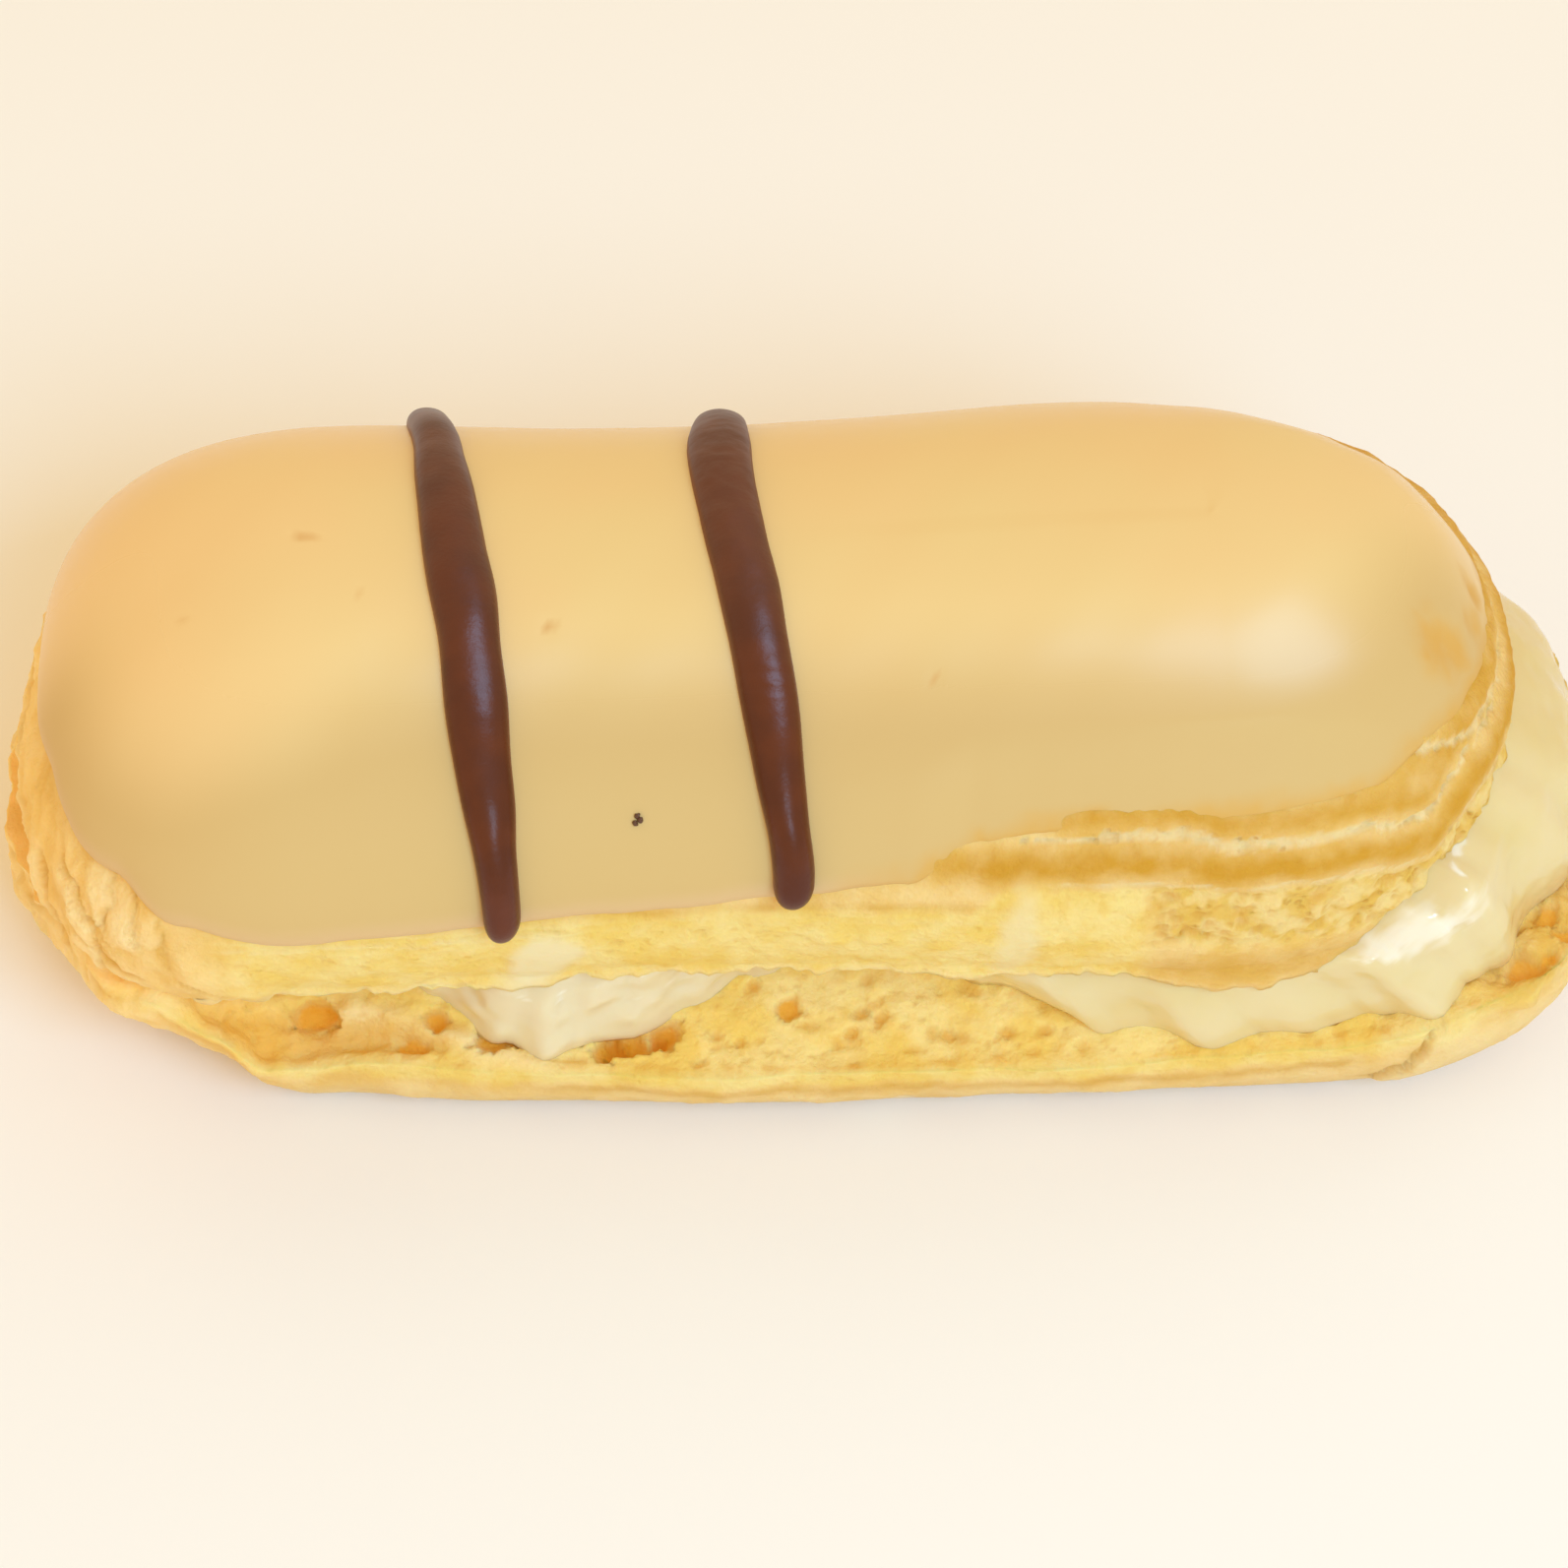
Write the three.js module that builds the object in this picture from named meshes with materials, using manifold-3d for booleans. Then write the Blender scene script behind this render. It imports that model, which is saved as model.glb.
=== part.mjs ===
// A filled eclair: a choux shell slit along its front and one end, custard cream in the slit,
// a coat of caramel icing over the crown and two piped chocolate stripes across it.
// Millimetres. +X runs to the open end, -Y is the slit side, +Z is up, and the shell stands on z = 0.
import * as THREE from "three";
import { mergeVertices } from "three/addons/utils/BufferGeometryUtils.js";
import Module from "manifold-3d";

const wasm = await Module();
wasm.setup();

// Driving sizes
const AROUND = 72; // steps round a plan outline, a multiple of 4
const FIT_GAP = 0.3; // clearance between pieces that touch
const CREAM_GAP = 0.45; // clearance round the cream, which lies on steep torn crumb
const SUNK = 1.2; // how far a piece starts inside its neighbour before it is cut back
const CENTRE = { x: 0.2, y: 0.75 }; // moves the whole eclair so that its box is centred on the origin

// Lower half of the shell: a boat with a flat foot and a sloping crumb floor
const TRAY = {
  left: -38.2,
  right: 37,
  halfWidth: 24,
  bluntLeft: 2.3,
  bluntRight: 2.1,
  floor: 12.6, // height of the crumb under the cream
  shoulder: 11, // width of the slope from the rim to that floor
  openRim: 16, // a rim lower than this is torn open
  shutRim: 21, // a rim this high runs on into the upper half
  lean: 0.1, // how far that wall leans in, as a share of the reach
  lumps: 0.35,
  crags: 0.6,
};

// Upper half of the shell: a long dome on an upright side band
const LID = {
  left: -33,
  right: 29.5,
  halfWidth: 23.8,
  bluntLeft: 2.7,
  bluntRight: 2.1,
  spring: 22, // height where the dome starts
  crown: 16.2, // rise of the dome over that height
  fullness: 2.15, // superellipse power of the dome
  band: 6.4, // height of the side band under the dome
  bandShare: 0.2, // the band's length in units of drop, where 0 is the crown and 1 the spring
  undercut: 2.2, // how far the band draws in at its foot
  arch: 1.6, // rise of the underside at the spine
  lumps: 0.5,
  crags: 0.5,
};

const HINGE_Y = 22; // the halves stay joined along this line
const GAPE = { lift: 3.6, shutX: -60, openX: -38 }; // how far the cream props the front of the lid up
const RIDGE = { pitch: 0.135, first: 0.7, depth: 0.65, faint: 0.25 }; // piping grooves, in units of drop
const FLAKE = { pitch: 5.2, depth: 0.7, outerX: -56, innerX: -44 }; // wrinkles round the closed end
const CREAM = { bottom: 7.6, top: 20, endTop: 17.6, endFrom: 44, endTo: 54, lumps: 0.4 };
const ICING = { thick: 1.5, edgePower: 5 };
const STRIPE = { rise: 1.9, along: 22, around: 12, bluntness: 7 };
const STRIPES = {
  stripe_left: { frontX: -23.6, backX: -28.4, bow: 0.8, frontDrop: 0.95, backDrop: 0.58, halfWidth: 2.5 },
  stripe_right: { frontX: -1.8, backX: -6.6, bow: 0.1, frontDrop: 0.91, backDrop: 0.52, halfWidth: 2.3 },
};
const BUBBLES = {
  count: 18,
  seed: 7,
  from: 0.005, // turns between which they lie
  to: 0.245,
  inner: 0.73, // shares of the reach between which they lie
  outer: 0.93,
  small: 0.6,
  large: 1.3,
};
const CAVES = [
  { x: -38.5, y: -19, z: 10.2, size: [6.5, 3.2, 2.4] },
  { x: -15, y: -20.6, z: 9.4, size: [3.4, 1.9, 1.6] },
];

// Sizes that change round the shell, as [turn, value]. Turn 0 to 0.25 is the front run, left to right,
// 0.5 is where the back run starts and 0.75 where the left end starts.
const TRAY_RIM = [
  [0, 9.8], [0.05, 8.4], [0.2, 8.6], [0.25, 9.4], [0.3, 13], [0.375, 15],
  [0.5, 15.6], [0.57, 21], [0.75, 21], [0.93, 21], [0.955, 15], [0.98, 11],
];
const TRAY_TUCK = [
  [0, 0.88], [0.05, 0.95], [0.12, 1], [0.25, 1], [0.75, 1], [0.88, 1], [0.93, 0.96], [0.96, 0.9],
];
const ICING_EDGE = [
  [0, 1.05], [0.06, 1.02], [0.13, 0.97], [0.165, 0.93], [0.2, 0.72], [0.25, 0.64], [0.31, 0.62], [0.35, 0.74],
  [0.4, 0.66], [0.46, 0.6], [0.52, 0.72], [0.6, 0.84], [0.7, 0.88], [0.8, 0.86], [0.88, 0.88], [0.95, 0.95],
];
const CREAM_REACH = [
  [0, 14], [0.025, 17], [0.055, 22.6], [0.075, 21.6], [0.105, 18], [0.15, 16.5], [0.18, 18.7], [0.213, 21.6],
  [0.25, 20.4], [0.3, 20.6], [0.36, 21], [0.42, 21], [0.5, 18], [0.56, 12], [0.7, 12], [0.85, 9], [0.95, 11],
];

// Profiles, as rows from one pole of a closed form to the other
const LID_DROPS = [1.2, 1.16, 1.11, 1.05, 1, 0.95, 0.9, 0.85, 0.8, 0.75, 0.7, 0.62, 0.48, 0.28, 0];
const LID_ROWS = [
  ...[0, 0.45, 0.8, 0.95].map((under) => ({ under })),
  ...LID_DROPS.map((drop) => ({ drop })),
];
// The lower half's wall as [share of the reach, share of the rim's height], from the foot to the rim.
const TRAY_WALL = [
  [0.74, 0.04], [0.84, 0.16], [0.92, 0.38], [0.955, 0.52], [0.98, 0.64], [0.99, 0.76], [0.997, 0.88], [1, 1],
];
const TRAY_ROWS = [
  ...[0, 0.4, 0.66].map((foot) => ({ foot })),
  ...TRAY_WALL.map((wall) => ({ wall })),
  ...[0.95, 0.88, 0.8, 0.7, 0.55, 0.3, 0].map((top) => ({ top })),
];
const CREAM_ROWS = [
  ...[0, 0.5, 0.8].map((share) => ({ share, up: 0 })),
  { share: 0.95, up: 0.12 },
  { share: 1, up: 0.45 },
  { share: 0.96, up: 0.8 },
  ...[0.86, 0.7, 0.4, 0].map((share) => ({ share, up: 1 })),
];
const ICING_ROWS = [
  ...[0, 0.25, 0.48, 0.66, 0.8, 0.9, 0.96, 1].map((share) => ({ share, outside: true })),
  ...[0.97, 0.85, 0.6, 0.3, 0].map((share) => ({ share, outside: false })),
];

// Plain maths
const lerp = (a, b, t) => a + (b - a) * t;
const smooth = (t) => t * t * (3 - 2 * t);
const ramp = (low, high, v) => smooth(Math.min(1, Math.max(0, (v - low) / (high - low))));
const bell = (v, middle, spread) => Math.exp(-(((v - middle) / spread) ** 2));
const wave = (v, pitch) => Math.cos((2 * Math.PI * v) / pitch);

// Value at a turn of a closed run of stops, eased between neighbours.
function stopsAt(stops, turn) {
  const t = ((turn % 1) + 1) % 1;
  const after = stops.findIndex(([at]) => at > t);
  const [endTurn, endValue] = after < 0 ? [stops[0][0] + 1, stops[0][1]] : stops[after];
  const before = after <= 0 ? stops.length - 1 : after - 1;
  const [startTurn, startValue] = stops[before];
  const start = startTurn > t ? startTurn - 1 : startTurn;
  return lerp(startValue, endValue, smooth((t - start) / (endTurn - start)));
}

// Slow lumps of hand-piped dough, about -1 to 1.
function lumps(x, y, z) {
  return (
    0.5 * Math.sin(0.21 * x + 0.35 * z + 1.1) * Math.cos(0.24 * y - 0.6) +
    0.3 * Math.sin(0.47 * x - 0.39 * y + 2.3) +
    0.2 * Math.sin(0.83 * x + 0.71 * z - 0.55 * y)
  );
}

// Fine torn crumb, about -1 to 1.
function crags(x, y) {
  return (
    0.55 * Math.sin(1.13 * x + 0.9 * y) * Math.cos(0.71 * x - 1.3 * y) +
    0.45 * Math.sin(0.67 * x + 1.9 * y + 0.4)
  );
}

// Flaky wrinkles that run round the closed left end.
function flakes(x, y, z) {
  const near = 1 - ramp(FLAKE.outerX, FLAKE.innerX, x);
  return FLAKE.depth * near * wave(z + 1.5 * lumps(x, y, z), FLAKE.pitch);
}

// A point of an oval drawn at a reach round a straight spine, and the spine's own x there.
function plan(turn, reach, { left, right, bluntLeft, bluntRight }) {
  const quarter = Math.floor(turn * 4) % 4;
  const along = turn * 4 - Math.floor(turn * 4);
  const spineX = [lerp(left, right, along), right, lerp(right, left, along), left][quarter];
  const half = Math.PI / 2;
  const angle = [-half, -half + Math.PI * along, half, half + Math.PI * along][quarter];
  const power = quarter === 1 ? bluntRight : bluntLeft;
  const c = Math.cos(angle);
  const s = Math.sin(angle);
  const norm = (Math.abs(c) ** power + Math.abs(s) ** power) ** (1 / power);
  return { spineX, x: spineX + (reach * c) / norm, y: (reach * s) / norm };
}

// A closed mesh's triangles as a solid, with its faces pointing out.
function solidFrom(source) {
  const bare = source.clone();
  bare.deleteAttribute("normal");
  bare.deleteAttribute("uv");
  const merged = mergeVertices(bare, 1e-4);
  const corners = merged.index.array;
  const triangles = [];
  for (let i = 0; i < corners.length; i += 3) {
    const [a, b, c] = [corners[i], corners[i + 1], corners[i + 2]];
    if (a !== b && b !== c && a !== c) triangles.push([a, b, c]);
  }
  const build = (list) =>
    new wasm.Manifold(
      new wasm.Mesh({
        numProp: 3,
        vertProperties: new Float32Array(merged.attributes.position.array),
        triVerts: new Uint32Array(list.flat()),
      }),
    );
  const solid = build(triangles);
  return solid.volume() > 0 ? solid : build(triangles.map(([a, b, c]) => [a, c, b]));
}

// A solid's triangles as three.js geometry.
function geometryFrom(solid) {
  const { vertProperties, triVerts } = solid.getMesh();
  const geometry = new THREE.BufferGeometry();
  geometry.setAttribute("position", new THREE.BufferAttribute(vertProperties, 3));
  geometry.setIndex(new THREE.BufferAttribute(triVerts, 1));
  geometry.computeVertexNormals();
  return geometry;
}

// The largest body of a solid, without the scraps that cutting leaves.
function mainBody(solid) {
  return solid.decompose().reduce((best, body) => (body.volume() > best.volume() ? body : best));
}

// A lathe stretched along a spine: place(turn, row) puts each vertex.
function ovalSolid(rows, place) {
  const profile = rows.map((row, j) => new THREE.Vector2(1, j));
  const geometry = new THREE.LatheGeometry(profile, AROUND);
  const position = geometry.getAttribute("position");
  for (let i = 0; i <= AROUND; i++)
    rows.forEach((row, j) => position.setXYZ(i * rows.length + j, ...place((i % AROUND) / AROUND, row)));
  return solidFrom(geometry);
}

// How far the lid is propped up at a point: shut at the left end and along the hinge.
function gape(x, y) {
  return (GAPE.lift * ramp(GAPE.shutX, GAPE.openX, x) * (HINGE_Y - y)) / (2 * HINGE_Y);
}

// The shell is a little thinner between its two fuller ends.
function swell(spineX) {
  return 1 + 0.05 * bell(spineX, -36, 15) + 0.065 * bell(spineX, 20, 17);
}

// Profile of the lid's outside at a drop from the crown: reach, height and outward normal.
function lidProfile(drop) {
  const { halfWidth, spring, crown, fullness, band, bandShare, undercut } = LID;
  if (drop > 1) {
    const down = (drop - 1) / bandShare;
    const reach = halfWidth - undercut * down ** 2;
    return { reach, height: spring - band * down, out: 0.96, up: -0.28 * down };
  }
  const angle = (drop * Math.PI) / 2;
  const across = Math.sin(angle) ** (2 / fullness);
  const rise = Math.cos(angle) ** (2 / fullness);
  const out = across ** (fullness - 1) / halfWidth;
  const up = rise ** (fullness - 1) / crown;
  const length = Math.hypot(out, up);
  return { reach: halfWidth * across, height: spring + crown * rise, out: out / length, up: up / length };
}

// Relief of the bare crust: piping grooves round the sides, faint on the torn front.
function crustRelief(turn, drop) {
  const bare = ramp(0.55, 0.7, drop) * (1 - ramp(1.12, 1.2, drop));
  const tornFront = turn < 0.17 || turn > 0.95;
  return RIDGE.depth * bare * (tornFront ? RIDGE.faint : 1) * wave(drop - RIDGE.first, RIDGE.pitch);
}

// A point of the dome and its side band, lifted off along its normal; iced leaves the grooves out.
function domePoint(turn, drop, lift, iced = false) {
  const { spineX } = plan(turn, 0, LID);
  const size = swell(spineX);
  const p = lidProfile(drop);
  const at = plan(turn, p.reach * size, LID);
  const bare = crustRelief(turn, drop) + flakes(at.x, at.y, p.height) * ramp(0.9, 1, drop);
  const relief = iced ? lift : lift + bare;
  const { x, y } = plan(turn, Math.max(0, p.reach * size + p.out * relief), LID);
  const rise = (p.height - LID.spring) * size + p.up * relief;
  return [x, y, LID.spring + rise + LID.lumps * lumps(x, y, 0) + gape(x, y)];
}

// Upper half, its underside a low arch. grow widens it for cutting a neighbour back.
function lidSolid(grow) {
  const rim = lidProfile(1 + LID.bandShare);
  return ovalSolid(LID_ROWS, (turn, row) => {
    if (row.drop !== undefined) return domePoint(turn, row.drop, grow);
    const { spineX } = plan(turn, 0, LID);
    const { x, y } = plan(turn, rim.reach * swell(spineX) * row.under, LID);
    const torn = LID.crags * crags(x, y) * row.under;
    return [x, y, rim.height + LID.arch * (1 - row.under ** 2) + torn + gape(x, y) - grow];
  });
}

// Height of the lower half's crumb at a share of its reach.
function crumbHeight(turn, share) {
  const inward = ramp(0, TRAY.shoulder, TRAY.halfWidth * (1 - share));
  return lerp(stopsAt(TRAY_RIM, turn), TRAY.floor, inward);
}

// Lower half with its crumb floor. grow raises it for cutting the cream back.
function traySolid(grow) {
  return ovalSolid(TRAY_ROWS, (turn, row) => {
    const rim = stopsAt(TRAY_RIM, turn);
    const full = TRAY.halfWidth * stopsAt(TRAY_TUCK, turn);
    if (row.foot !== undefined) {
      const { x, y } = plan(turn, full * row.foot, TRAY);
      return [x, y, -grow];
    }
    if (row.wall) {
      const [share, up] = row.wall;
      const lean = TRAY.lean * ramp(TRAY.openRim, TRAY.shutRim, rim) * ramp(0.5, 1, up);
      const reach = full * (share - lean);
      const at = plan(turn, reach, TRAY);
      const uneven = (TRAY.lumps * lumps(at.x, at.y, rim * up) + flakes(at.x, at.y, rim * up)) * up;
      const { x, y } = plan(turn, reach + uneven + grow, TRAY);
      return [x, y, rim * up + (up === 1 ? grow : 0)];
    }
    const lean = TRAY.lean * ramp(TRAY.openRim, TRAY.shutRim, rim);
    const { x, y } = plan(turn, full * (1 - lean) * row.top, TRAY);
    const torn = TRAY.crags * crags(x, y) * ramp(0, 0.5, row.top);
    return [x, y, crumbHeight(turn, row.top) + torn + grow];
  });
}

// Bubbles in the crumb: the caves by the slit and a seeded scatter along the front slope.
function crumbHoles() {
  const { count, seed, from, to, inner, outer, small, large } = BUBBLES;
  let state = seed;
  const draw = () => {
    state = (state * 16807) % 2147483647;
    return state / 2147483647;
  };
  const bubbles = Array.from({ length: count }, (_, i) => {
    const turn = lerp(from, to, (i + draw()) / count);
    const share = lerp(inner, outer, draw());
    const size = lerp(small, large, draw());
    const { x, y } = plan(turn, TRAY.halfWidth * stopsAt(TRAY_TUCK, turn) * share, TRAY);
    return { x, y, z: crumbHeight(turn, share), size: [size * 1.5, size, size] };
  });
  return [...CAVES, ...bubbles].map(({ x, y, z, size }) =>
    solidFrom(new THREE.SphereGeometry(1, 8, 6).scale(...size).translate(x, y, z)),
  );
}

// The two halves in one piece: they part along the front and the right end only.
function shellSolid() {
  const whole = lidSolid(0).add(traySolid(0));
  return mainBody(crumbHoles().reduce((solid, hole) => solid.subtract(hole), whole));
}

// Cream that fills the slit and swells out of it at the front and the open end.
function creamSolid() {
  const slab = ovalSolid(CREAM_ROWS, (turn, row) => {
    const { x, y } = plan(turn, stopsAt(CREAM_REACH, turn) * row.share, TRAY);
    const top = lerp(CREAM.top, CREAM.endTop, ramp(CREAM.endFrom, CREAM.endTo, x));
    return [x, y, lerp(CREAM.bottom, top, row.up) + CREAM.lumps * lumps(x, y, 3 * row.up)];
  });
  return mainBody(slab.subtract(lidSolid(CREAM_GAP)).subtract(traySolid(CREAM_GAP)));
}

// Icing over the crown, thinning to a rounded edge where it stopped running. grow thickens it for cutting.
function icingSlab(grow) {
  return ovalSolid(ICING_ROWS, (turn, { share, outside }) => {
    const drop = (stopsAt(ICING_EDGE, turn) + 0.03 * grow) * share;
    const rounded = Math.sqrt(1 - share ** ICING.edgePower);
    return domePoint(turn, drop, outside ? lerp(-SUNK / 2, ICING.thick + grow, rounded) : -SUNK, outside);
  });
}

function icingSolid() {
  return mainBody(icingSlab(0).subtract(lidSolid(FIT_GAP)));
}

// One piped stripe over the icing: stations run from its back end to its front end.
function stripeSolid({ frontX, backX, bow, frontDrop, backDrop, halfWidth }) {
  const rod = new THREE.SphereGeometry(1, STRIPE.around, STRIPE.along);
  const position = rod.getAttribute("position");
  const span = backDrop + frontDrop;
  for (let i = 0; i < position.count; i++) {
    const station = (1 - position.getY(i)) / 2;
    const ring = Math.hypot(position.getX(i), position.getZ(i));
    const side = ring > 1e-6 ? position.getX(i) / ring : 0;
    const up = ring > 1e-6 ? position.getZ(i) / ring : 0;
    const end = Math.min(1, Math.sqrt((1 - Math.abs(2 * station - 1)) * span * STRIPE.bluntness));
    const wide = halfWidth * (0.8 + 0.3 * bell(station, 0.42, 0.28)) * end;
    const middle = lerp(backX, frontX, station) + bow * Math.sin(Math.PI * station);
    const share = ((middle + side * wide - LID.left) / (LID.right - LID.left)) * 0.25;
    const drop = lerp(-backDrop, frontDrop, station);
    const lift = ICING.thick + (up > 0 ? up * STRIPE.rise * end : up * SUNK);
    position.setXYZ(i, ...domePoint(drop >= 0 ? share : 0.75 - share, Math.abs(drop), lift, true));
  }
  return mainBody(solidFrom(rod).subtract(icingSlab(FIT_GAP)));
}

const FINISH = {
  choux: { color: 0xe6b95c, roughness: 0.75 },
  cream: { color: 0xf0dca6, roughness: 0.35 },
  icing: { color: 0xe9c588, roughness: 0.3 },
  chocolate: { color: 0x4a2a1c, roughness: 0.35 },
};

function piece(name, solid, finish) {
  const material = new THREE.MeshStandardMaterial({ ...finish, metalness: 0 });
  const mesh = new THREE.Mesh(geometryFrom(solid).translate(CENTRE.x, CENTRE.y, 0), material);
  mesh.name = name;
  return mesh;
}

const eclair = new THREE.Group();
eclair.name = "eclair";
eclair.add(piece("choux", shellSolid(), FINISH.choux));
eclair.add(piece("cream", creamSolid(), FINISH.cream));
eclair.add(piece("icing", icingSolid(), FINISH.icing));
for (const [name, stripe] of Object.entries(STRIPES))
  eclair.add(piece(name, stripeSolid(stripe), FINISH.chocolate));

export default eclair;
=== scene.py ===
import math

import bpy
import numpy as np
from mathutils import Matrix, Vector


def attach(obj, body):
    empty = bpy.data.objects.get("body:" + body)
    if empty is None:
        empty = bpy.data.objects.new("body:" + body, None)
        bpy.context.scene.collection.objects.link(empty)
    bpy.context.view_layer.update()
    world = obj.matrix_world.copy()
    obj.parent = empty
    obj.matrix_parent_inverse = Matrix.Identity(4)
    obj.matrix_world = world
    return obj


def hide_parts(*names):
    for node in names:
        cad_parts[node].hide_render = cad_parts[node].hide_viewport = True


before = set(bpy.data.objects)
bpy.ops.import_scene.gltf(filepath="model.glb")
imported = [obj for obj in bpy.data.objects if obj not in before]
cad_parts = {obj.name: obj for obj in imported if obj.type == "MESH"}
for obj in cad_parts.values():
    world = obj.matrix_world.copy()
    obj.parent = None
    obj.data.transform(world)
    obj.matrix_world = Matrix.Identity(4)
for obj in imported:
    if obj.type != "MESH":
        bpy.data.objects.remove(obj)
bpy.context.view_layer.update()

# Driving sizes in millimetres, close to those of the solids. Bluntness is the power of an end's rounding:
# 2 is round and more is squarer, and blunt_front is the front half of the right end.
MM = 0.001
CENTRE = np.array([0.2, 0.75, 0.0])
TRAY = dict(left=-38.2, right=37.0, half_width=24.0, blunt_left=2.3, blunt_front=3.1, blunt_right=2.1,
            floor=12.6, shoulder=11.0, open_rim=16.0, shut_rim=21.0, lean=0.1, lumps=0.35,
            foot_share=0.77, undercut=0.24, shut_height=0.78)
LID = dict(left=-33.0, right=29.5, half_width=23.8, blunt_left=2.7, blunt_front=2.1, blunt_right=2.1,
           spring=22.0, crown=16.2, fullness=2.15, band=6.4, band_share=0.2, undercut=2.2, arch=1.6,
           lumps=0.05)
SWELLS = [(-36, 0.05, 15), (26, 0.065, 20)]  # where the lid is plumper: x along its spine, share, spread
LID_SHORT = dict(share=0.06, turn=0.375, spread=0.07)  # how much shorter the lid's right end is
HINGE_Y = 22.0
GAPE = dict(lift=3.6, shut_x=-60.0, open_x=-38.0)
ICING_THICK = 1.5
MM_PER_TURN = 300.0
MM_PER_DROP = 31.0

# Values round the shell as (turn, value): turn 0 to 0.25 is the front run from left to right, 0.25 to 0.5
# the right end, 0.5 to 0.75 the back run and 0.75 to 1 the left end. Drop is 0 at the crown of the lid,
# 1 where its dome springs and 1.2 at its lower rim. Share is a part of the lower half's reach.
TRAY_RIM = [(0, 7.8), (0.014, 8.8), (0.05, 8.4), (0.2, 8.6), (0.25, 9.4), (0.3, 13), (0.375, 15),
            (0.5, 15.6), (0.57, 21), (0.75, 21), (0.93, 21), (0.955, 15), (0.973, 11.8), (0.987, 8.0)]
TRAY_TUCK = [(0, 0.88), (0.05, 0.95), (0.12, 1), (0.25, 1), (0.75, 1), (0.88, 1), (0.93, 0.96), (0.96, 0.9)]
SHUT = [(0, 0), (0.5, 0), (0.57, 1), (0.935, 1), (0.96, 0)]
ICING_EDGE = [(0, 0.97), (0.042, 0.955), (0.09, 0.92), (0.127, 0.885), (0.156, 0.83), (0.178, 0.69),
              (0.207, 0.648), (0.25, 0.645), (0.29, 0.64), (0.307, 0.605), (0.3344, 0.635), (0.3544, 0.67),
              (0.3881, 0.68), (0.4163, 0.59), (0.4419, 0.5), (0.4637, 0.48), (0.5, 0.56), (0.56, 0.78),
              (0.65, 0.87), (0.8, 0.86), (0.88, 0.82), (0.905, 0.79), (0.94, 0.82), (0.958, 0.93),
              (0.98, 0.985)]
ICING_DEPTH = [(0, 1.5), (0.15, 1.4), (0.19, 1.1), (0.25, 0.9), (0.34, 0.7), (0.45, 0.9), (0.55, 1.4),
               (0.9, 1.6)]
CREAM_TOE = [(0, 0.6), (0.02, 0.68), (0.0306, 0.762), (0.047, 0.88), (0.0569, 0.94), (0.065, 0.89),
             (0.0794, 0.867), (0.095, 0.78), (0.109, 0.682), (0.13, 0.6), (0.152, 0.66), (0.1688, 0.775),
             (0.194, 0.88), (0.2, 0.887), (0.2075, 0.867), (0.2256, 0.956), (0.2419, 0.919),
             (0.2506, 0.915), (0.2625, 0.89), (0.2725, 0.91), (0.2812, 0.965), (0.2925, 0.895),
             (0.3, 0.885), (0.318, 0.81), (0.336, 0.87), (0.365, 0.95), (0.4, 0.92), (0.44, 0.83),
             (0.5, 0.7), (0.56, 0.5), (0.7, 0.48), (0.85, 0.38), (0.95, 0.45)]
CREAM_CONTACT = [(0, 1.2), (0.25, 1.25), (0.2825, 1.235), (0.2975, 1.12), (0.3075, 1.03), (0.32, 0.95),
                 (0.36, 0.92), (0.4, 0.9), (0.44, 1.0), (0.5, 1.15), (0.56, 1.2)]
RIDGE_SAG = [(0, 0), (0.235, 0), (0.25, 0.03), (0.28, 0.045), (0.295, 0.085), (0.303, 0.1), (0.3125, 0.06),
             (0.32, 0.035), (0.4, 0.02), (0.5, 0)]

# Stretches round the shell: the turns where each starts, is whole, starts to fade and ends. A start before
# the front run is negative.
UNDERCUT_CORNER = (-0.125, -0.08, -0.04, 0.0)
CLOSED_END = (0.7, 0.82, 0.955, 0.99)
OPEN_RIM = (0.275, 0.305, 0.5, 0.56)
GOLDEN_FOOT = (0.045, 0.07, 0.256, 0.264)
FLAP_END = (0.255, 0.262, 0.31, 0.34)
FRONT_BAND = (-0.045, -0.025, 0.17, 0.22)
TORN_BAND = (0.1, 0.15, 0.222, 0.232)
POROUS_STRIP = (0.222, 0.232, 0.48, 0.54)
RIGHT_SIDE = (0.14, 0.19, 0.48, 0.54)
BACK_SIDE = (0.5, 0.56, 0.78, 0.86)
FIRST_RIDGE = (0.194, 0.204, 0.44, 0.5)
SECOND_RIDGE = (0.143, 0.185, 0.44, 0.5)
SHORT_CRACK = (0.283, 0.292, 0.34, 0.37)
PATCHY_CRUST = (0.29, 0.32, 0.46, 0.52)
CREAM_WEDGE = (0.145, 0.155, 0.21, 0.24)
WEDGE_LIFT = (0.14, 0.155, 0.188, 0.199)
CREAM_END = (0.26, 0.31, 0.46, 0.52)
CREAM_SHOULDER = (0.245, 0.29, 0.3, 0.34)
CREAM_BLOB = (0.02, 0.035, 0.12, 0.16)
ICING_THINS = (0.12, 0.17, 0.45, 0.52)


# Plain maths
def lerp(a, b, t):
    return a + (b - a) * t


def ramp(low, high, v):
    t = np.clip((v - low) / (high - low), 0, 1)
    return t * t * (3 - 2 * t)


def bell(v, middle, spread):
    return np.exp(-(((v - middle) / spread) ** 2))


def wave(v, pitch):
    return np.cos(2 * np.pi * v / pitch)


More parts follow.
